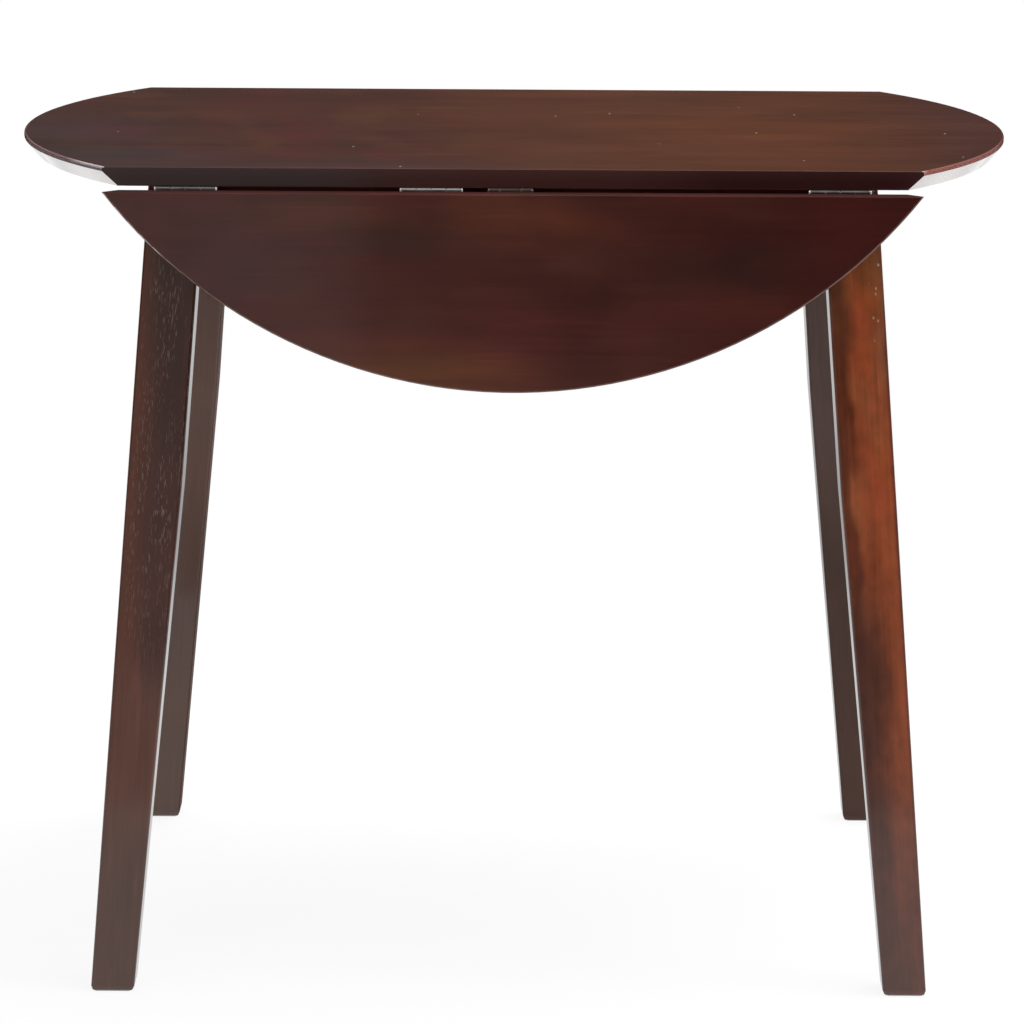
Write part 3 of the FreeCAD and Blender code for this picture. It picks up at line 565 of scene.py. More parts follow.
@dataclass(frozen=True)
class Walnut:
    """Dark stained walnut under lacquer.

    The seed says which part of the plank a piece comes from. Its straight-cut faces look along the cut
    axis and have zones of their own. The lean and the middle set a leaning piece upright round its own
    middle line.
    """

    name: str
    grain: Grain
    stain: Stain
    cut_axis: Triple
    seed: Triple
    figure: Figure = Figure()
    lacquer: Lacquer = Lacquer()
    zones: tuple[tuple[Zone, Triple], ...] = ()
    cut_zones: tuple[tuple[Zone, Triple], ...] = ()
    spots: tuple[Spot, ...] = ()
    rim: Rim | None = None
    pores: Pores | None = None
    specks: Specks | None = None
    lean: Triple = ORIGIN
    middle: float = 0.0
    contrast: float = 1.0
    mottle: float = 0.6
    rubbing: float = 0.5
    zone_share: float = 0.85
    spot_wander: float = 1.6
    cut_share: float = 0.85
    cut_limits: Pair = (0.75, 0.95)
    edge_reach: float = 0.002
    edge_bend: float = 0.12
    streak_relief: float = 0.5
    fibre_relief: float = 0.35

    def straightened(self, tree: ShaderTree) -> Signal:
        """Place in the piece as if it did not lean.

        Args:
            tree: tree of the material.

        Returns:
            The place along the fibres, across them and through.
        """
        x, y, z = tree.split(tree.coordinates("Object"))
        upright = (x + (z * self.lean[0] - self.middle), y + z * self.lean[1], z)
        return tree.joined(*(upright[axis] for axis in self.grain.value))

    def swayed(self, tree: ShaderTree, straight: Signal) -> Signal:
        """Place in the plank that the piece was cut from, where the fibres wander a little.

        Args:
            tree: tree of the material.
            straight: place in the piece.

        Returns:
            The place along the fibres, across them and through.
        """
        plank = tree.vector("ADD", straight, self.seed)
        along, across, through = tree.split(plank)
        sway = self.figure.sway_reach * tree.noise(plank, self.figure.sway).swing()
        return tree.joined(along, across + sway, through + sway)

    def stained(self, tree: ShaderTree, straight: Signal, place: Signal, patches: Signal) -> Signal:
        """Colour of the stain: dark bands, brown and red patches, zones and spots.

        Args:
            tree: tree of the material.
            straight: place in the piece.
            place: place in the plank.
            patches: noise that the brown patches follow.

        Returns:
            The colour.
        """
        figure, share = self.figure, self.figure.stain_share
        bands = tree.noise(place, figure.bands, detail=3.0)
        blush = tree.noise(tree.vector("ADD", place, figure.red_shift), figure.patches, detail=2.5)
        colour = tree.mix(self.stain.body, self.stain.deep, bands.step(*figure.band_limits) * share)
        colour = tree.mix(colour, self.stain.brown, patches.step(*figure.brown_limits) * share)
        colour = tree.mix(colour, self.stain.red, blush.step(*figure.red_limits) * share)
        for zone, tone in self.zones:
            colour = tree.mix(colour, tone, zone.mask(tree, straight, patches.swing()) * self.zone_share)
        for spot in self.spots:
            wander = self.spot_wander * bands.swing()
            colour = tree.mix(colour, spot.tone, spot.mask(tree, straight, wander))
        return colour

    def shade(self, tree: ShaderTree, place: Signal, streaks: Signal, fibres: Signal) -> Signal:
        """Light and dark of the streaks, fibres, gleams and clouds.

        Args:
            tree: tree of the material.
            place: place in the plank.
            streaks: noise of the streaks.
            fibres: noise of the fibres.

        Returns:
            A factor for the colour, near 1.
        """
        figure = self.figure
        lines = figure.streak_share * streaks.swing() + figure.fibre_share * fibres.swing()
        gleams = tree.noise(place, figure.gleams, detail=1.0).step(*figure.gleam_limits)
        clouds = self.mottle * tree.noise(place, figure.clouds, detail=2.5).swing()
        return 1 + self.contrast * (lines + figure.gleam_share * gleams) + clouds

    def worked(self, tree: ShaderTree, straight: Signal, place: Signal, colour: Signal, cut: Signal,
               edges: Signal) -> Signal:
        """Colour with straight-cut faces, rubbed edges, a round rim and dust.

        Args:
            tree: tree of the material.
            straight: place in the piece.
            place: place in the plank.
            colour: colour of the broad faces.
            cut: 1 on straight-cut faces.
            edges: 1 along the edges.

        Returns:
            The colour.
        """
        sawn = self.stain.cut
        for zone, tone in self.cut_zones:
            sawn = tree.mix(sawn, tone, zone.mask(tree, straight))
        colour = tree.mix(colour, sawn, cut * self.cut_share)
        rubs = tree.noise(place, self.figure.rubs).step(*self.figure.rub_limits)
        colour = tree.mix(colour, self.stain.brown, edges * rubs * self.rubbing)
        if self.rim:
            colour = self.rim.coloured(tree, straight, colour, 1 - cut)
        if self.specks:
            colour = tree.mix(colour, self.specks.tone, self.specks.mask(tree, straight))
        return colour

    def material(self) -> bpy.types.Material:
        """Lacquered wood with all the markings of the piece.

        Returns:
            The material.
        """
        material, tree = new_material(self.name)
        straight = self.straightened(tree)
        place = self.swayed(tree, straight)
        streaks = tree.noise(place, self.figure.streaks, detail=3.0)
        fibres = tree.noise(place, self.figure.fibres)
        patches = tree.noise(place, self.figure.patches, detail=2.5)
        stained = self.stained(tree, straight, place, patches)
        colour = tree.scaled(stained, self.shade(tree, place, streaks, fibres))
        relief = self.streak_relief * streaks + self.fibre_relief * fibres
        if self.pores:
            pores = self.pores.mask(tree, straight, place)
            colour = tree.mix(colour, self.pores.tone, pores)
            relief = relief - self.pores.depth * pores
        cut = abs(tree.towards(self.cut_axis)).step(*self.cut_limits)
        edges = tree.arris(self.edge_reach, self.edge_bend)
        colour = self.worked(tree, straight, place, colour, cut, edges)
        uneven = self.lacquer.uneven(streaks, patches)
        shader = self.lacquer.over(tree, colour, relief, uneven, cut, edges)
        if self.rim:
            shader = tree.blended(shader, self.rim.bead(tree), self.rim.bevel(tree) * (1 - cut))
        tree.close("ShaderNodeOutputMaterial", shader)
        return material


@dataclass(frozen=True)
class BareWood:
    """Sawn hardwood with no finish. Its markings are in waves per metre along X, Y and Z."""

    name: str
    pale: Triple
    dark: Triple
    bands: Triple = (40.0, 40.0, 9.0)
    band_limits: Pair = (0.3, 0.7)
    fibres: Triple = (900.0, 900.0, 60.0)
    saw_marks: Triple = (12.0, 12.0, 420.0)
    least_shade: float = 0.8
    fibre_shade: float = 0.3
    saw_shade: float = 0.1
    roughness: float = 0.62
    fibre_roughness: float = 0.2
    fibre_relief: float = 0.4
    saw_relief: float = 0.6
    relief_depth: float = 0.0004
    relief_strength: float = 0.5

    def material(self) -> bpy.types.Material:
        """Dry wood with saw marks across the fibres.

        Returns:
            The material.
        """
        material, tree = new_material(self.name)
        place = tree.coordinates("Object")
        bands = tree.noise(place, self.bands, detail=3.0)
        fibre = tree.noise(place, self.fibres)
        saw = tree.noise(place, self.saw_marks, detail=1.0)
        colour = tree.mix(self.dark, self.pale, bands.step(*self.band_limits))
        colour = tree.scaled(colour, self.least_shade + self.fibre_shade * fibre + self.saw_shade * saw)
        relief = self.saw_relief * saw + self.fibre_relief * fibre
        shader = tree.node("ShaderNodeBsdfPrincipled", {}, {
            "Base Color": colour,
            "Roughness": self.roughness + self.fibre_roughness * fibre,
            "Specular IOR Level": 0.3,
            "Normal": tree.bump(relief, self.relief_depth, self.relief_strength),
        })
        tree.close("ShaderNodeOutputMaterial", shader)
        return material


@dataclass(frozen=True)
class Metal:
    """Steel with a plated or lacquered skin, cloudy stains and bright worn edges, which on the hinges
    are also a painted highlight.
    """

    name: str
    skin: Triple
    stain: Triple
    worn: Triple
    roughness: float
    metallic: float = 1.0
    edge: float = 0.0006
    edge_bend: float = 0.08
    brushed: Triple = (60.0, 2200.0, 2200.0)
    clouds: Triple = (95.0, 95.0, 95.0)
    stain_limits: Pair = (0.45, 0.75)
    stain_share: float = 0.7
    wear_limits: Pair = (0.30, 0.55)
    least_wear: float = 0.4
    least_shade: float = 0.82
    brushed_shade: float = 0.36
    cloud_roughness: float = 0.16
    brushed_roughness: float = 0.10
    relief_depth: float = 0.0001
    relief_strength: float = 0.25

    def material(self) -> bpy.types.Material:
        """Brushed metal with its stains and worn edges, which on the hinges are also a painted
        highlight.

        Returns:
            The material.
        """
        material, tree = new_material(self.name)
        place = tree.coordinates("Object")
        brushing = tree.noise(place, self.brushed)
        clouds = tree.noise(place, self.clouds, detail=4.0)
        # How strongly the bright edges show: wear, and on the hinges also a painted highlight.
        wear_and_highlights = self.least_wear + (1.0 - self.least_wear) * clouds.step(*self.wear_limits)
        colour = tree.mix(self.skin, self.stain, clouds.step(*self.stain_limits) * self.stain_share)
        colour = tree.scaled(colour, self.least_shade + self.brushed_shade * brushing)
        colour = tree.mix(colour, self.worn, tree.arris(self.edge, self.edge_bend) * wear_and_highlights)
        uneven = self.cloud_roughness * clouds.swing() + self.brushed_roughness * brushing.swing()
        shader = tree.node("ShaderNodeBsdfPrincipled", {}, {
            "Base Color": colour,
            "Metallic": self.metallic,
            "Roughness": self.roughness + uneven,
            "Normal": tree.bump(brushing, self.relief_depth, self.relief_strength),
        })
        tree.close("ShaderNodeOutputMaterial", shader)
        return material


TOP_STAIN = Stain(
    body=(0.0415, 0.0110, 0.0056),
    deep=(0.0280, 0.0080, 0.0050),
    brown=(0.0550, 0.0170, 0.0062),
    red=(0.0560, 0.0088, 0.0064),
    cut=(0.0320, 0.0120, 0.0122))
LEAF_STAIN = Stain(
    body=(0.051, 0.0104, 0.0070),
    deep=(0.033, 0.0080, 0.0064),
    brown=(0.067, 0.0175, 0.0080),
    red=(0.064, 0.0112, 0.0076),
    cut=(0.024, 0.0068, 0.0056))


@dataclass
class RoundTop:
    """Centre board and the two leaves, which hang from the hinge axis."""

    leaf_circle: float = 1.00945
    dust: Specks = Specks(UP, share=0.30, cells=(22.0, 8.0, 8.0), radius=0.026, tone=(0.25, 0.20, 0.165))
    # Stretches of the rim with band and corner tones of their own; the pale corners at the chord ends
    # are partly wear and partly a painted highlight.
    wear_and_highlights: tuple[tuple[Zone, Triple, Triple], ...] = (
        (Zone((-0.04, -0.14), RIGHT_HALF), (0.22, 0.060, 0.045), (0.18, 0.075, 0.062)),
        (Zone((-0.270, -0.282), RIGHT_HALF), (0.30, 0.120, 0.100), (0.39, 0.290, 0.270)),
        (Zone((-0.04, -0.14), LEFT_HALF), (0.17, 0.105, 0.105), (0.19, 0.107, 0.104)),
        (Zone((-0.215, -0.262), LEFT_HALF), (0.15, 0.120, 0.135), (0.52, 0.455, 0.475)))

    def centre(self) -> Walnut:
        """Reddish at its left end and olive brown towards the right, grey near the front left: a painted
        sheen.
        """
        return Walnut(
            "walnut_center_top", Grain.LEVEL_BOARD, TOP_STAIN, BACK, ORIGIN,
            Figure(patches=(14.0, 8.0, 9.0), clouds=(6.0, 15.0, 15.0)), Lacquer(dull_axis=DOWN),
            zones=((Zone(along=(-0.16, 0.06)), (0.065, 0.0193, 0.0073)),
                   (Zone(along=(0.30, 0.44)), (0.043, 0.0150, 0.0115))),
            cut_zones=((Zone(along=(-0.20, -0.07)), (0.052, 0.0148, 0.0128)),
                       (Zone(along=(0.09, 0.20)), (0.031, 0.0058, 0.0078))),
            # The first three spots, grey near the front left, are a painted sheen.
            spots=(Spot((-0.37, -0.21), (0.13, 0.12), (0.0250, 0.0165, 0.0185), 0.7),
                   Spot((-0.42, -0.03), (0.13, 0.15), (0.0350, 0.0170, 0.0200), 0.6),
                   Spot((-0.18, -0.26), (0.24, 0.08), (0.0480, 0.0210, 0.0215)),
                   Spot((-0.24, 0.10), (0.11, 0.16), (0.0515, 0.0098, 0.0056)),
                   Spot((0.20, -0.03), (0.16, 0.10), (0.0785, 0.0224, 0.0067))),
            # The paler corner tone is partly rubbing and partly a painted highlight along the arris.
            rim=Rim(ORIGIN, DOWN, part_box("center_top")[1][2], band_tone=(0.20, 0.045, 0.024),
                    corner_rub_and_highlight_tone=(0.085, 0.029, 0.021), stretches=self.wear_and_highlights),
            specks=self.dust, contrast=1.25, mottle=0.8)

    def front_leaf(self) -> Walnut:
        """Mottled red brown, with dull olive patches and a warm lower middle."""
        spots = (Spot((-0.24, 0.665), (0.07, 0.045), (0.043, 0.0150, 0.0155)),
                 Spot((-0.16, 0.713), (0.09, 0.020), (0.082, 0.0250, 0.0095)),
                 Spot((-0.09, 0.688), (0.07, 0.018), (0.035, 0.0140, 0.0090)),
                 Spot((-0.08, 0.572), (0.11, 0.030), (0.110, 0.0360, 0.0125), 0.7),
                 Spot((0.04, 0.709), (0.11, 0.024), (0.080, 0.0175, 0.0065)),
                 Spot((0.16, 0.657), (0.12, 0.034), (0.026, 0.0095, 0.0062), 0.6),
                 Spot((0.21, 0.628), (0.11, 0.030), (0.070, 0.0115, 0.0060)))
        return self.leaf("front_leaf", (3.1, 1.7, 0.4), 1.0, spots)

    def leaf(self, node: str, seed: Triple, under_y: float, spots: tuple[Spot, ...] = ()) -> Walnut:
        """Finish of one leaf.

        Args:
            node: which leaf it is.
            seed: which part of the plank it comes from.
            under_y: way that its underside looks as it hangs, 1 or -1.
            spots: patches of other tones.

        Returns:
            The finish.
        """
        low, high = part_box(node)
        face = -low[1] if under_y > 0 else high[1]
        # The paler corner tone is partly rubbing and partly a painted highlight along the arris.
        rim = Rim((0.0, 0.0, self.leaf_circle), (0.0, under_y, 0.0), face,
                  band_tone=(0.075, 0.022, 0.015), corner_rub_and_highlight_tone=(0.095, 0.038, 0.028))
        return Walnut(
            f"walnut_{node}", Grain.UPRIGHT_BOARD, LEAF_STAIN, UP, seed,
            Figure(patches=(7.0, 12.0, 12.0), clouds=(9.0, 18.0, 18.0)),
            Lacquer(cut_dulling=0.30, cut_coat=0.0, dull_axis=UP),
            # Darker and redder towards the right, so the left keeps a greyer tone that is a painted
            # sheen.
            zones=((Zone(along=(0.02, 0.30)), (0.036, 0.0040, 0.0028)),),
            spots=spots, rim=rim, contrast=0.85, mottle=1.2, rubbing=0.1)

    def dress(self) -> None:
        """Lacquer each board with its own piece of the plank."""
        paint("center_top", self.centre().material())
        paint("front_leaf", self.front_leaf().material())
        paint("back_leaf", self.leaf("back_leaf", (7.3, 2.9, 1.1), -1.0).material())


@dataclass
class LegFrame:
    """Four legs, the aprons between them and the corner blocks."""

    splay: float = 0.076
    foot_width: float = 0.0393
    blocks: BareWood = BareWood("bare_block", (0.46, 0.31, 0.17), (0.33, 0.21, 0.11))

    def front_left(self) -> Walnut:
        """Dark leg with a warm edge on its left, open pores in its upper half, and a paler, greyer lower
        part that is a painted reflection of the floor.

        Returns:
            The finish.
        """
        stain = Stain(body=(0.036, 0.0088, 0.0044), deep=(0.027, 0.0072, 0.0042),
                      brown=(0.045, 0.0118, 0.0060), red=(0.050, 0.0120, 0.0068),
                      cut=(0.026, 0.0095, 0.0070))
        zones = ((Zone((0.006, -0.013)), (0.080, 0.0192, 0.0068)),
                 # Paler and greyer low down, a painted reflection of the floor; darker again near the
                 # foot.
                 (Zone(along=(0.33, 0.23)), (0.094, 0.0350, 0.0215)),
                 (Zone(along=(0.20, 0.12)), (0.057, 0.0188, 0.0094)))
        return self.leg("front_left", stain, -1, -1, (0.3, 0.7, 0.2), zones=zones, contrast=1.3,
                        pores=Pores(Zone((-0.022, -0.006), (0.24, 0.42))))

    def front_right(self) -> Walnut:
        """Orange brown leg, streaky, dark along both edges and darker below.

        Returns:
            The finish.
        """
        stain = Stain(body=(0.230, 0.0500, 0.0140), deep=(0.160, 0.0340, 0.0105),
                      brown=(0.215, 0.0610, 0.0200), red=(0.250, 0.0470, 0.0160),
                      cut=(0.040, 0.0120, 0.0075))
        zones = ((Zone(along=(0.44, 0.32)), (0.188, 0.0425, 0.0135)),
                 (Zone((-0.008, -0.019)), (0.070, 0.0150, 0.0055)),
                 (Zone((0.000, 0.017), (0.50, 0.60)), (0.165, 0.0600, 0.0270)),
                 (Zone((0.0165, 0.0190), wander=0.0), (0.080, 0.0180, 0.0110)),
                 (Zone((0.011, -0.010), (0.42, 0.30)), (0.046, 0.0135, 0.0075)),
                 (Zone(along=(0.30, 0.02)), (0.056, 0.0160, 0.0090)))
        spots = (Spot((0.668, 0.002), (0.050, 0.028), (0.200, 0.0640, 0.0180), 0.8),
                 Spot((0.618, -0.021), (0.045, 0.015), (0.098, 0.0300, 0.0120), 0.7),
                 Spot((0.615, -0.003), (0.036, 0.009), (0.310, 0.0580, 0.0210), 0.8))
        dust = Specks(BACK, share=0.65, cells=(105.0, 170.0, 170.0), radius=0.17,
                      tone=(0.50, 0.40, 0.32), zone=Zone((0.006, 0.011), (0.590, 0.605)))
        figure = Figure(patches=(16.0, 34.0, 34.0), clouds=(70.0, 95.0, 95.0))
        return self.leg("front_right", stain, 1, -1, (2.1, 5.3, 1.2), figure=figure, zones=zones,
                        spots=spots, specks=dust, contrast=1.3, mottle=0.7, rubbing=0.2)

    def back_left(self) -> Walnut:
        """Olive brown leg, paler and greyer above: a painted reflection."""
        stain = Stain(body=(0.062, 0.0200, 0.0088), deep=(0.048, 0.0165, 0.0078),
                      brown=(0.070, 0.0240, 0.0095), red=(0.065, 0.0182, 0.0090),
                      cut=(0.034, 0.0130, 0.0090))
        return self.leg("back_left", stain, -1, 1, (4.4, 2.6, 3.1),
                        lacquer=Lacquer(dull_axis=RIGHT, dulling=0.4),
                        # Paler, greyer upper part: a painted reflection.
                        zones=((Zone(along=(0.26, 0.46)), (0.107, 0.0540, 0.0395)),))

    def back_right(self) -> Walnut:
        """Dull red brown leg, darker below and a little paler and greyer above: a painted reflection."""
        stain = Stain(body=(0.042, 0.0145, 0.0075), deep=(0.034, 0.0120, 0.0068),
                      brown=(0.047, 0.0165, 0.0080), red=(0.046, 0.0138, 0.0078),
                      cut=(0.030, 0.0120, 0.0085))
        return self.leg("back_right", stain, 1, 1, (6.2, 3.3, 4.8),
                        lacquer=Lacquer(dull_axis=FRONT, dulling=0.25),
                        # Paler, greyer upper part: a painted reflection.
                        zones=((Zone(along=(0.26, 0.46)), (0.072, 0.0400, 0.0325)),))

    def leg(self, corner: str, stain: Stain, out_x: int, out_y: int, seed: Triple,
            **finish: object) -> Walnut:
        """Finish of one leg, with its grain along the leaning post.

        Args:
            corner: which leg it is.
            stain: its colours.
            out_x: side of the table that it leans to, -1 or 1.
            out_y: end of the table that it leans to, -1 or 1.
            seed: which part of the plank it comes from.
            finish: other fields of the wood.

        Returns:
            The finish.
        """
        low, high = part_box(f"{corner}_leg")
        outer = high[0] if out_x > 0 else low[0]
        return Walnut(f"walnut_{corner}_leg", Grain.POST, stain, UP, seed,
                      lean=(out_x * self.splay, out_y * self.splay, 0.0),
                      middle=outer - out_x * self.foot_width / 2, **finish)

    def dress(self) -> None:
        """Lacquer the legs and aprons, and leave the blocks bare."""
        bare = self.blocks.material()
        legs = {"front_left": self.front_left(), "front_right": self.front_right(),
                "back_left": self.back_left(), "back_right": self.back_right()}
        for corner, leg in legs.items():
            paint(f"{corner}_leg", leg.material())
            paint(f"{corner}_block", bare)
        aprons = (("front", Grain.UPRIGHT_BOARD, (1.9, 0.6, 2.2)),
                  ("back", Grain.UPRIGHT_BOARD, (3.8, 0.6, 2.2)),
                  ("left", Grain.END_BOARD, (5.7, 0.6, 2.2)),
                  ("right", Grain.END_BOARD, (7.6, 0.6, 2.2)))
        for side, grain, seed in aprons:
            apron = Walnut(f"walnut_{side}_apron", grain, LEAF_STAIN, UP, seed)
            paint(f"{side}_apron", apron.material())


@dataclass
class Hinges:
    """Six butt hinges with pins and screws. The front middle one is the brightest: a lighter copy
    of the plating, a painted highlight. The wide pale edges are partly wear and partly a painted
    highlight on the knuckle ends. The pale, half-metallic pins are a painted glint.
    """

    # Both platings have wide bright edges: partly wear, partly a painted highlight on the knuckle ends.
    dull: Metal = Metal("plated_steel", (0.30, 0.30, 0.295), (0.19, 0.185, 0.175), (0.90, 0.89, 0.88),
                        roughness=0.40, edge=0.0011)
    # Lighter copy of the plating for the front middle hinge: a painted highlight.
    bright: Metal = Metal("plated_steel_painted_highlight", (0.62, 0.61, 0.59), (0.40, 0.39, 0.37), (0.94, 0.93, 0.92),
                          roughness=0.34, edge=0.0011)
    # Pale, half-metallic pins: a painted glint on the pin ends.
    pins_painted_glint: Metal = Metal("pin_steel_painted_glint", (0.92, 0.91, 0.89), (0.74, 0.73, 0.70), (0.96, 0.95, 0.94),
                          roughness=0.32, metallic=0.35)

    def dress(self) -> None:
        """Plate every part of the hinges."""
        dull, bright, pins_painted_glint = self.dull.material(), self.bright.material(), self.pins_painted_glint.material()
        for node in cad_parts:
            if "_hinge_" in node or node.startswith("hinge_screws"):
                # The front middle hinge takes the lighter copy of the plating, a painted highlight.
                plate = bright if node.startswith("front_middle_") else dull
                paint(node, pins_painted_glint if node.endswith("_pin") else plate)


@dataclass
class LeafSupports:
    """Folding support under each leaf, with its pins and screws."""

    sheet: Metal = Metal("bronze_lacquer", (0.085, 0.060, 0.044), (0.055, 0.040, 0.032),
                         (0.36, 0.31, 0.26), roughness=0.46, metallic=0.6)
    pins: Metal = Metal("pin_steel", (0.36, 0.35, 0.33), (0.22, 0.21, 0.19), (0.85, 0.84, 0.82),
                        roughness=0.38)

    def dress(self) -> None:
        """Lacquer the bent sheet and plate the pins and screws."""
        sheet, pins = self.sheet.material(), self.pins.material()
        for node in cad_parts:
            if node.endswith(("_support_bracket", "_support_arm", "_support_brace")):
                paint(node, sheet)
            elif "_support_" in node or node.startswith("support_screws"):
                paint(node, pins)


@dataclass
class Fasteners:
    """Leg bolts with their nuts and washers, and the long wood screws."""

    zinc: Metal = Metal("zinc_plate", (0.58, 0.59, 0.60), (0.42, 0.42, 0.42), (0.75, 0.75, 0.74),
                        roughness=0.40, brushed=TUMBLED)
    yellow: Metal = Metal("yellow_zinc", (0.50, 0.40, 0.22), (0.40, 0.32, 0.20), (0.68, 0.62, 0.48),
                          roughness=0.36, brushed=TUMBLED)

    def dress(self) -> None:
        """Zinc the bolts, and pass the wood screws yellow."""
        zinc, yellow = self.zinc.material(), self.yellow.material()
        for node in ("leg_bolts", "leg_nuts", "leg_washers"):
            paint(node, zinc)
        for node in ("top_screws", "block_screws"):
            paint(node, yellow)


@dataclass(frozen=True)
class Lamp:
    """Soft rectangular lamp: its place, what it points at, its width and height, and its power.

    A mirrored lamp shows in the lacquer. One that does not light is a card that shows there and nowhere
    else. The spread is in degrees: less than a half circle makes the lamp dimmer when seen edge on.
    """

    name: str
    place: Triple
    target: Triple
    size: Pair
    watts: float
    mirrored: bool = False
    lights: bool = True
    spread: float = 180.0

    def build(self) -> None:
        """Hang the lamp where the camera does not see it."""
        data = bpy.data.lights.new(self.name, "AREA")
        data.shape = "RECTANGLE"
        data.size, data.size_y = self.size
        data.energy = self.watts
        data.spread = math.radians(self.spread)
        lamp = bpy.data.objects.new(self.name, data)
        lamp.location = self.place
        lamp.visible_camera = False
        lamp.visible_glossy = self.mirrored
        lamp.visible_diffuse = self.lights
        aim = Vector(self.target) - Vector(self.place)
        lamp.rotation_euler = aim.to_track_quat("-Z", "Y").to_euler()
        bpy.context.scene.collection.objects.link(lamp)


LAMPS = (
    Lamp("overhead", (0.7, 0.3, 2.9), (0.3, 0.1, 0.7), (2.6, 2.0), 140.0),
    Lamp("right", (2.5, -0.8, 1.9), (0.2, 0.0, 0.7), (1.2, 1.4), 20.0),
    Lamp("front_left", (-1.7, -3.8, 1.3), (0.0, 0.0, 0.4), (1.8, 1.2), 30.0),
    Lamp("front_right", (1.9, -3.4, 1.1), (0.2, 0.0, 0.4), (1.4, 1.0), 14.0),
    Lamp("back", (-0.6, 3.6, 1.5), (0.0, 0.0, 0.4), (1.8, 1.2), 20.0),
    Lamp("pale_card", (-1.2, -2.2, 0.5), (-1.0, 0.0, 0.5), (2.0, 0.9), 2.4, mirrored=True),
    Lamp("left_card", (-0.85, 1.25, 0.01), (-0.85, 1.25, 1.0), (0.6, 2.4), 3.1,
         mirrored=True, lights=False, spread=160.0),
    Lamp("right_card", (0.85, 1.25, 0.01), (0.85, 1.25, 1.0), (0.6, 2.4), 3.1,
         mirrored=True, lights=False, spread=160.0),
)


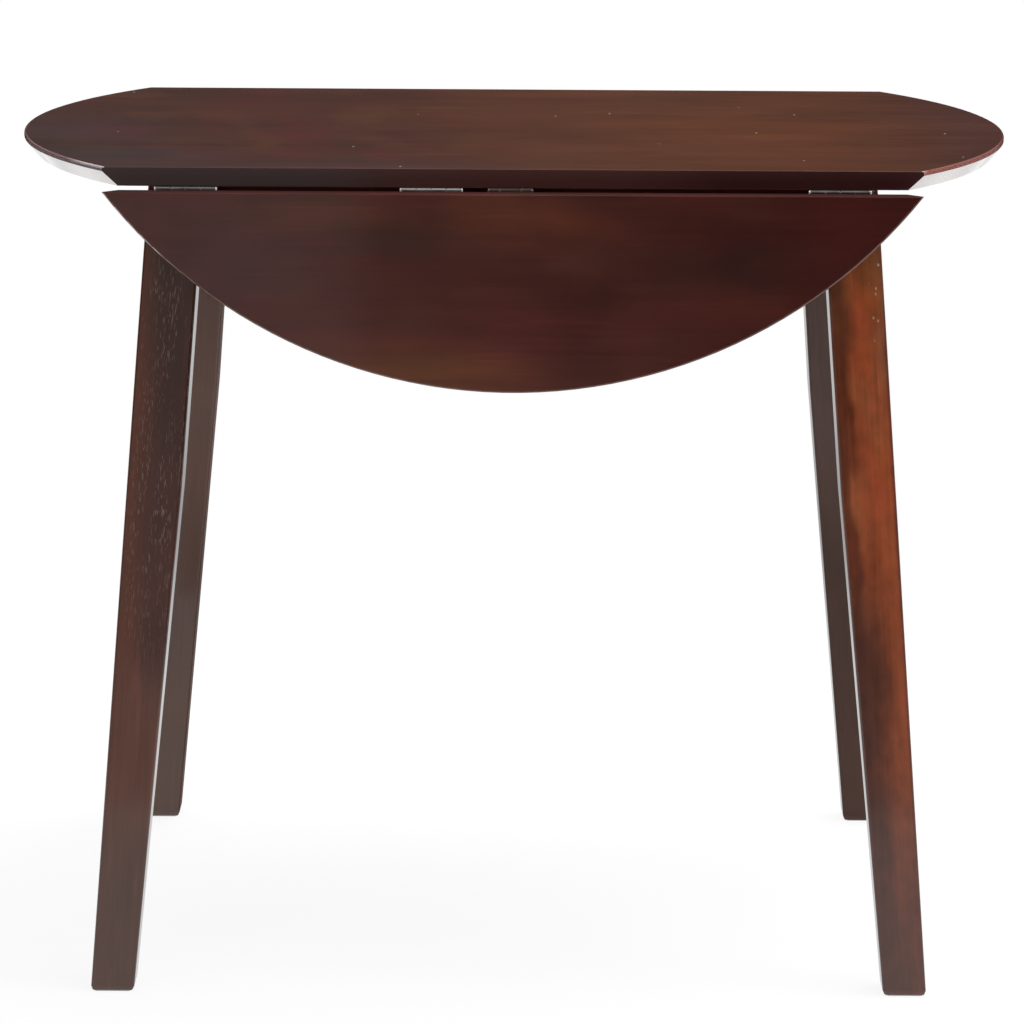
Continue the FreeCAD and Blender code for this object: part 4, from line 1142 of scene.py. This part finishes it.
@dataclass
class Studio:
    """White floor, soft lamps, plain surroundings and the camera.

    The mirrored fields shape the floor as the lacquer shows it: white near the table, dimmer behind it,
    paler again far off and dark beyond its end. The behind fields shape the dim wall at the back.
    """

    floor_reach: float = 9.0
    floor_front: float = 1.7
    floor_tone: Triple = (0.93, 0.93, 0.93)
    shadow_share: float = 0.10
    shadow_fade: Pair = (0.9, 1.9)
    mirrored_level: float = 0.56
    mirrored_end: Pair = (5.5, 4.0)
    mirrored_near: Pair = (3.3, 1.2)
    mirrored_back: Pair = (1.6, 0.8)
    mirrored_far: Pair = (1.6, 2.8)
    mirrored_far_rise: float = 0.32
    room: float = 0.01
    ceiling: float = 0.8
    ceiling_limits: Pair = (0.30, 0.90)
    behind: float = 0.012
    behind_limits: Pair = (0.0, 0.5)
    behind_left: float = 0.045
    behind_left_limits: Pair = (0.16, -0.20)
    lamps: tuple[Lamp, ...] = LAMPS
    camera_place: Triple = (0.0140, -4.5911, 1.3686)
    camera_turn: Triple = (-0.175, 12.143, -0.311)
    lens: float = 173.23
    sensor: float = 36.0
    clip_end: float = 100.0

    def build_floor(self) -> None:
        """Pale floor that stays white to the camera, keeps a soft shadow and glows in the lacquer."""
        mesh = bpy.data.meshes.new("floor")
        reach, front = self.floor_reach, self.floor_front
        corners = [(-reach, -front, 0.0), (reach, -front, 0.0),
                   (reach, reach, 0.0), (-reach, reach, 0.0)]
        mesh.from_pydata(corners, [], [(0, 1, 2, 3)])
        floor = bpy.data.objects.new("floor", mesh)
        bpy.context.scene.collection.objects.link(floor)
        material, tree = new_material("white_floor")
        camera = tree.node("ShaderNodeLightPath", {}, {}, "Is Camera Ray")
        glossy, through = camera.beside("Is Glossy Ray", "Is Transmission Ray")
        place = tree.coordinates("Object")
        distance = tree.length(place)
        y = tree.split(place)[1]
        near = distance.step(*self.mirrored_near) * y.step(*self.mirrored_back)
        wide = self.mirrored_level + self.mirrored_far_rise * y.step(*self.mirrored_far)
        mirrored = wide * distance.step(*self.mirrored_end) + (1.0 - self.mirrored_level) * near
        seen = 1.0 - self.shadow_share + self.shadow_share * distance.step(*self.shadow_fade)
        reflected = glossy + through
        diffuse = tree.node("ShaderNodeBsdfDiffuse", {}, {"Color": self.floor_tone})
        white = tree.scaled(WHITE, camera + reflected * mirrored)
        glow = tree.node("ShaderNodeEmission", {}, {"Color": white, "Strength": 1.0})
        tree.close("ShaderNodeOutputMaterial", tree.blended(diffuse, glow, camera * seen + reflected))
        mesh.materials.append(material)

    def build_world(self) -> None:
        """White to the camera, and to everything else a dim room with a bright ceiling."""
        world = bpy.data.worlds.new("studio")
        bpy.context.scene.world = world
        world.use_nodes = True
        tree = ShaderTree(world.node_tree)
        x, y, z = tree.split(tree.coordinates("Generated"))
        left = self.behind_left * x.step(*self.behind_left_limits)
        behind = y.step(*self.behind_limits) * (self.behind + left)
        strength = self.room + self.ceiling * z.step(*self.ceiling_limits) + behind
        room = tree.node("ShaderNodeBackground", {}, {"Strength": strength})
        camera = tree.node("ShaderNodeLightPath", {}, {}, "Is Camera Ray")
        through, = camera.beside("Is Transmission Ray")
        backdrop = tree.node("ShaderNodeBackground", {}, {"Color": WHITE, "Strength": 1.0})
        tree.close("ShaderNodeOutputWorld", tree.blended(room, backdrop, camera + through))

    def build_camera(self) -> None:
        """Long lens from a little above the table, looking along +Y."""
        yaw, pitch, roll = (math.radians(angle) for angle in self.camera_turn)
        flat = math.cos(pitch)
        forward = Vector((math.sin(yaw) * flat, math.cos(yaw) * flat, -math.sin(pitch)))
        level = Vector((math.cos(yaw), -math.sin(yaw), 0.0))
        down = forward.cross(level)
        right = level * math.cos(roll) + down * math.sin(roll)
        up = level * math.sin(roll) - down * math.cos(roll)
        data = bpy.data.cameras.new("camera")
        data.sensor_width, data.lens = self.sensor, self.lens
        data.clip_end = self.clip_end
        camera = bpy.data.objects.new("camera", data)
        turned = Matrix((right, up, -forward)).transposed().to_4x4()
        camera.matrix_world = Matrix.Translation(self.camera_place) @ turned
        bpy.context.scene.collection.objects.link(camera)
        bpy.context.scene.camera = camera

    def build(self) -> None:
        """Everything round the table."""
        bpy.context.scene.view_settings.view_transform = "Standard"
        self.build_floor()
        self.build_world()
        for lamp in self.lamps:
            lamp.build()
        self.build_camera()
        LOG.info("studio ready")


def main() -> None:
    """Dress the table and build the studio round it."""
    logging.basicConfig(level=logging.INFO, format="%(message)s")
    for part in (RoundTop(), LegFrame(), Hinges(), LeafSupports(), Fasteners()):
        part.dress()
    Studio().build()


if __name__ == "__main__":
    main()
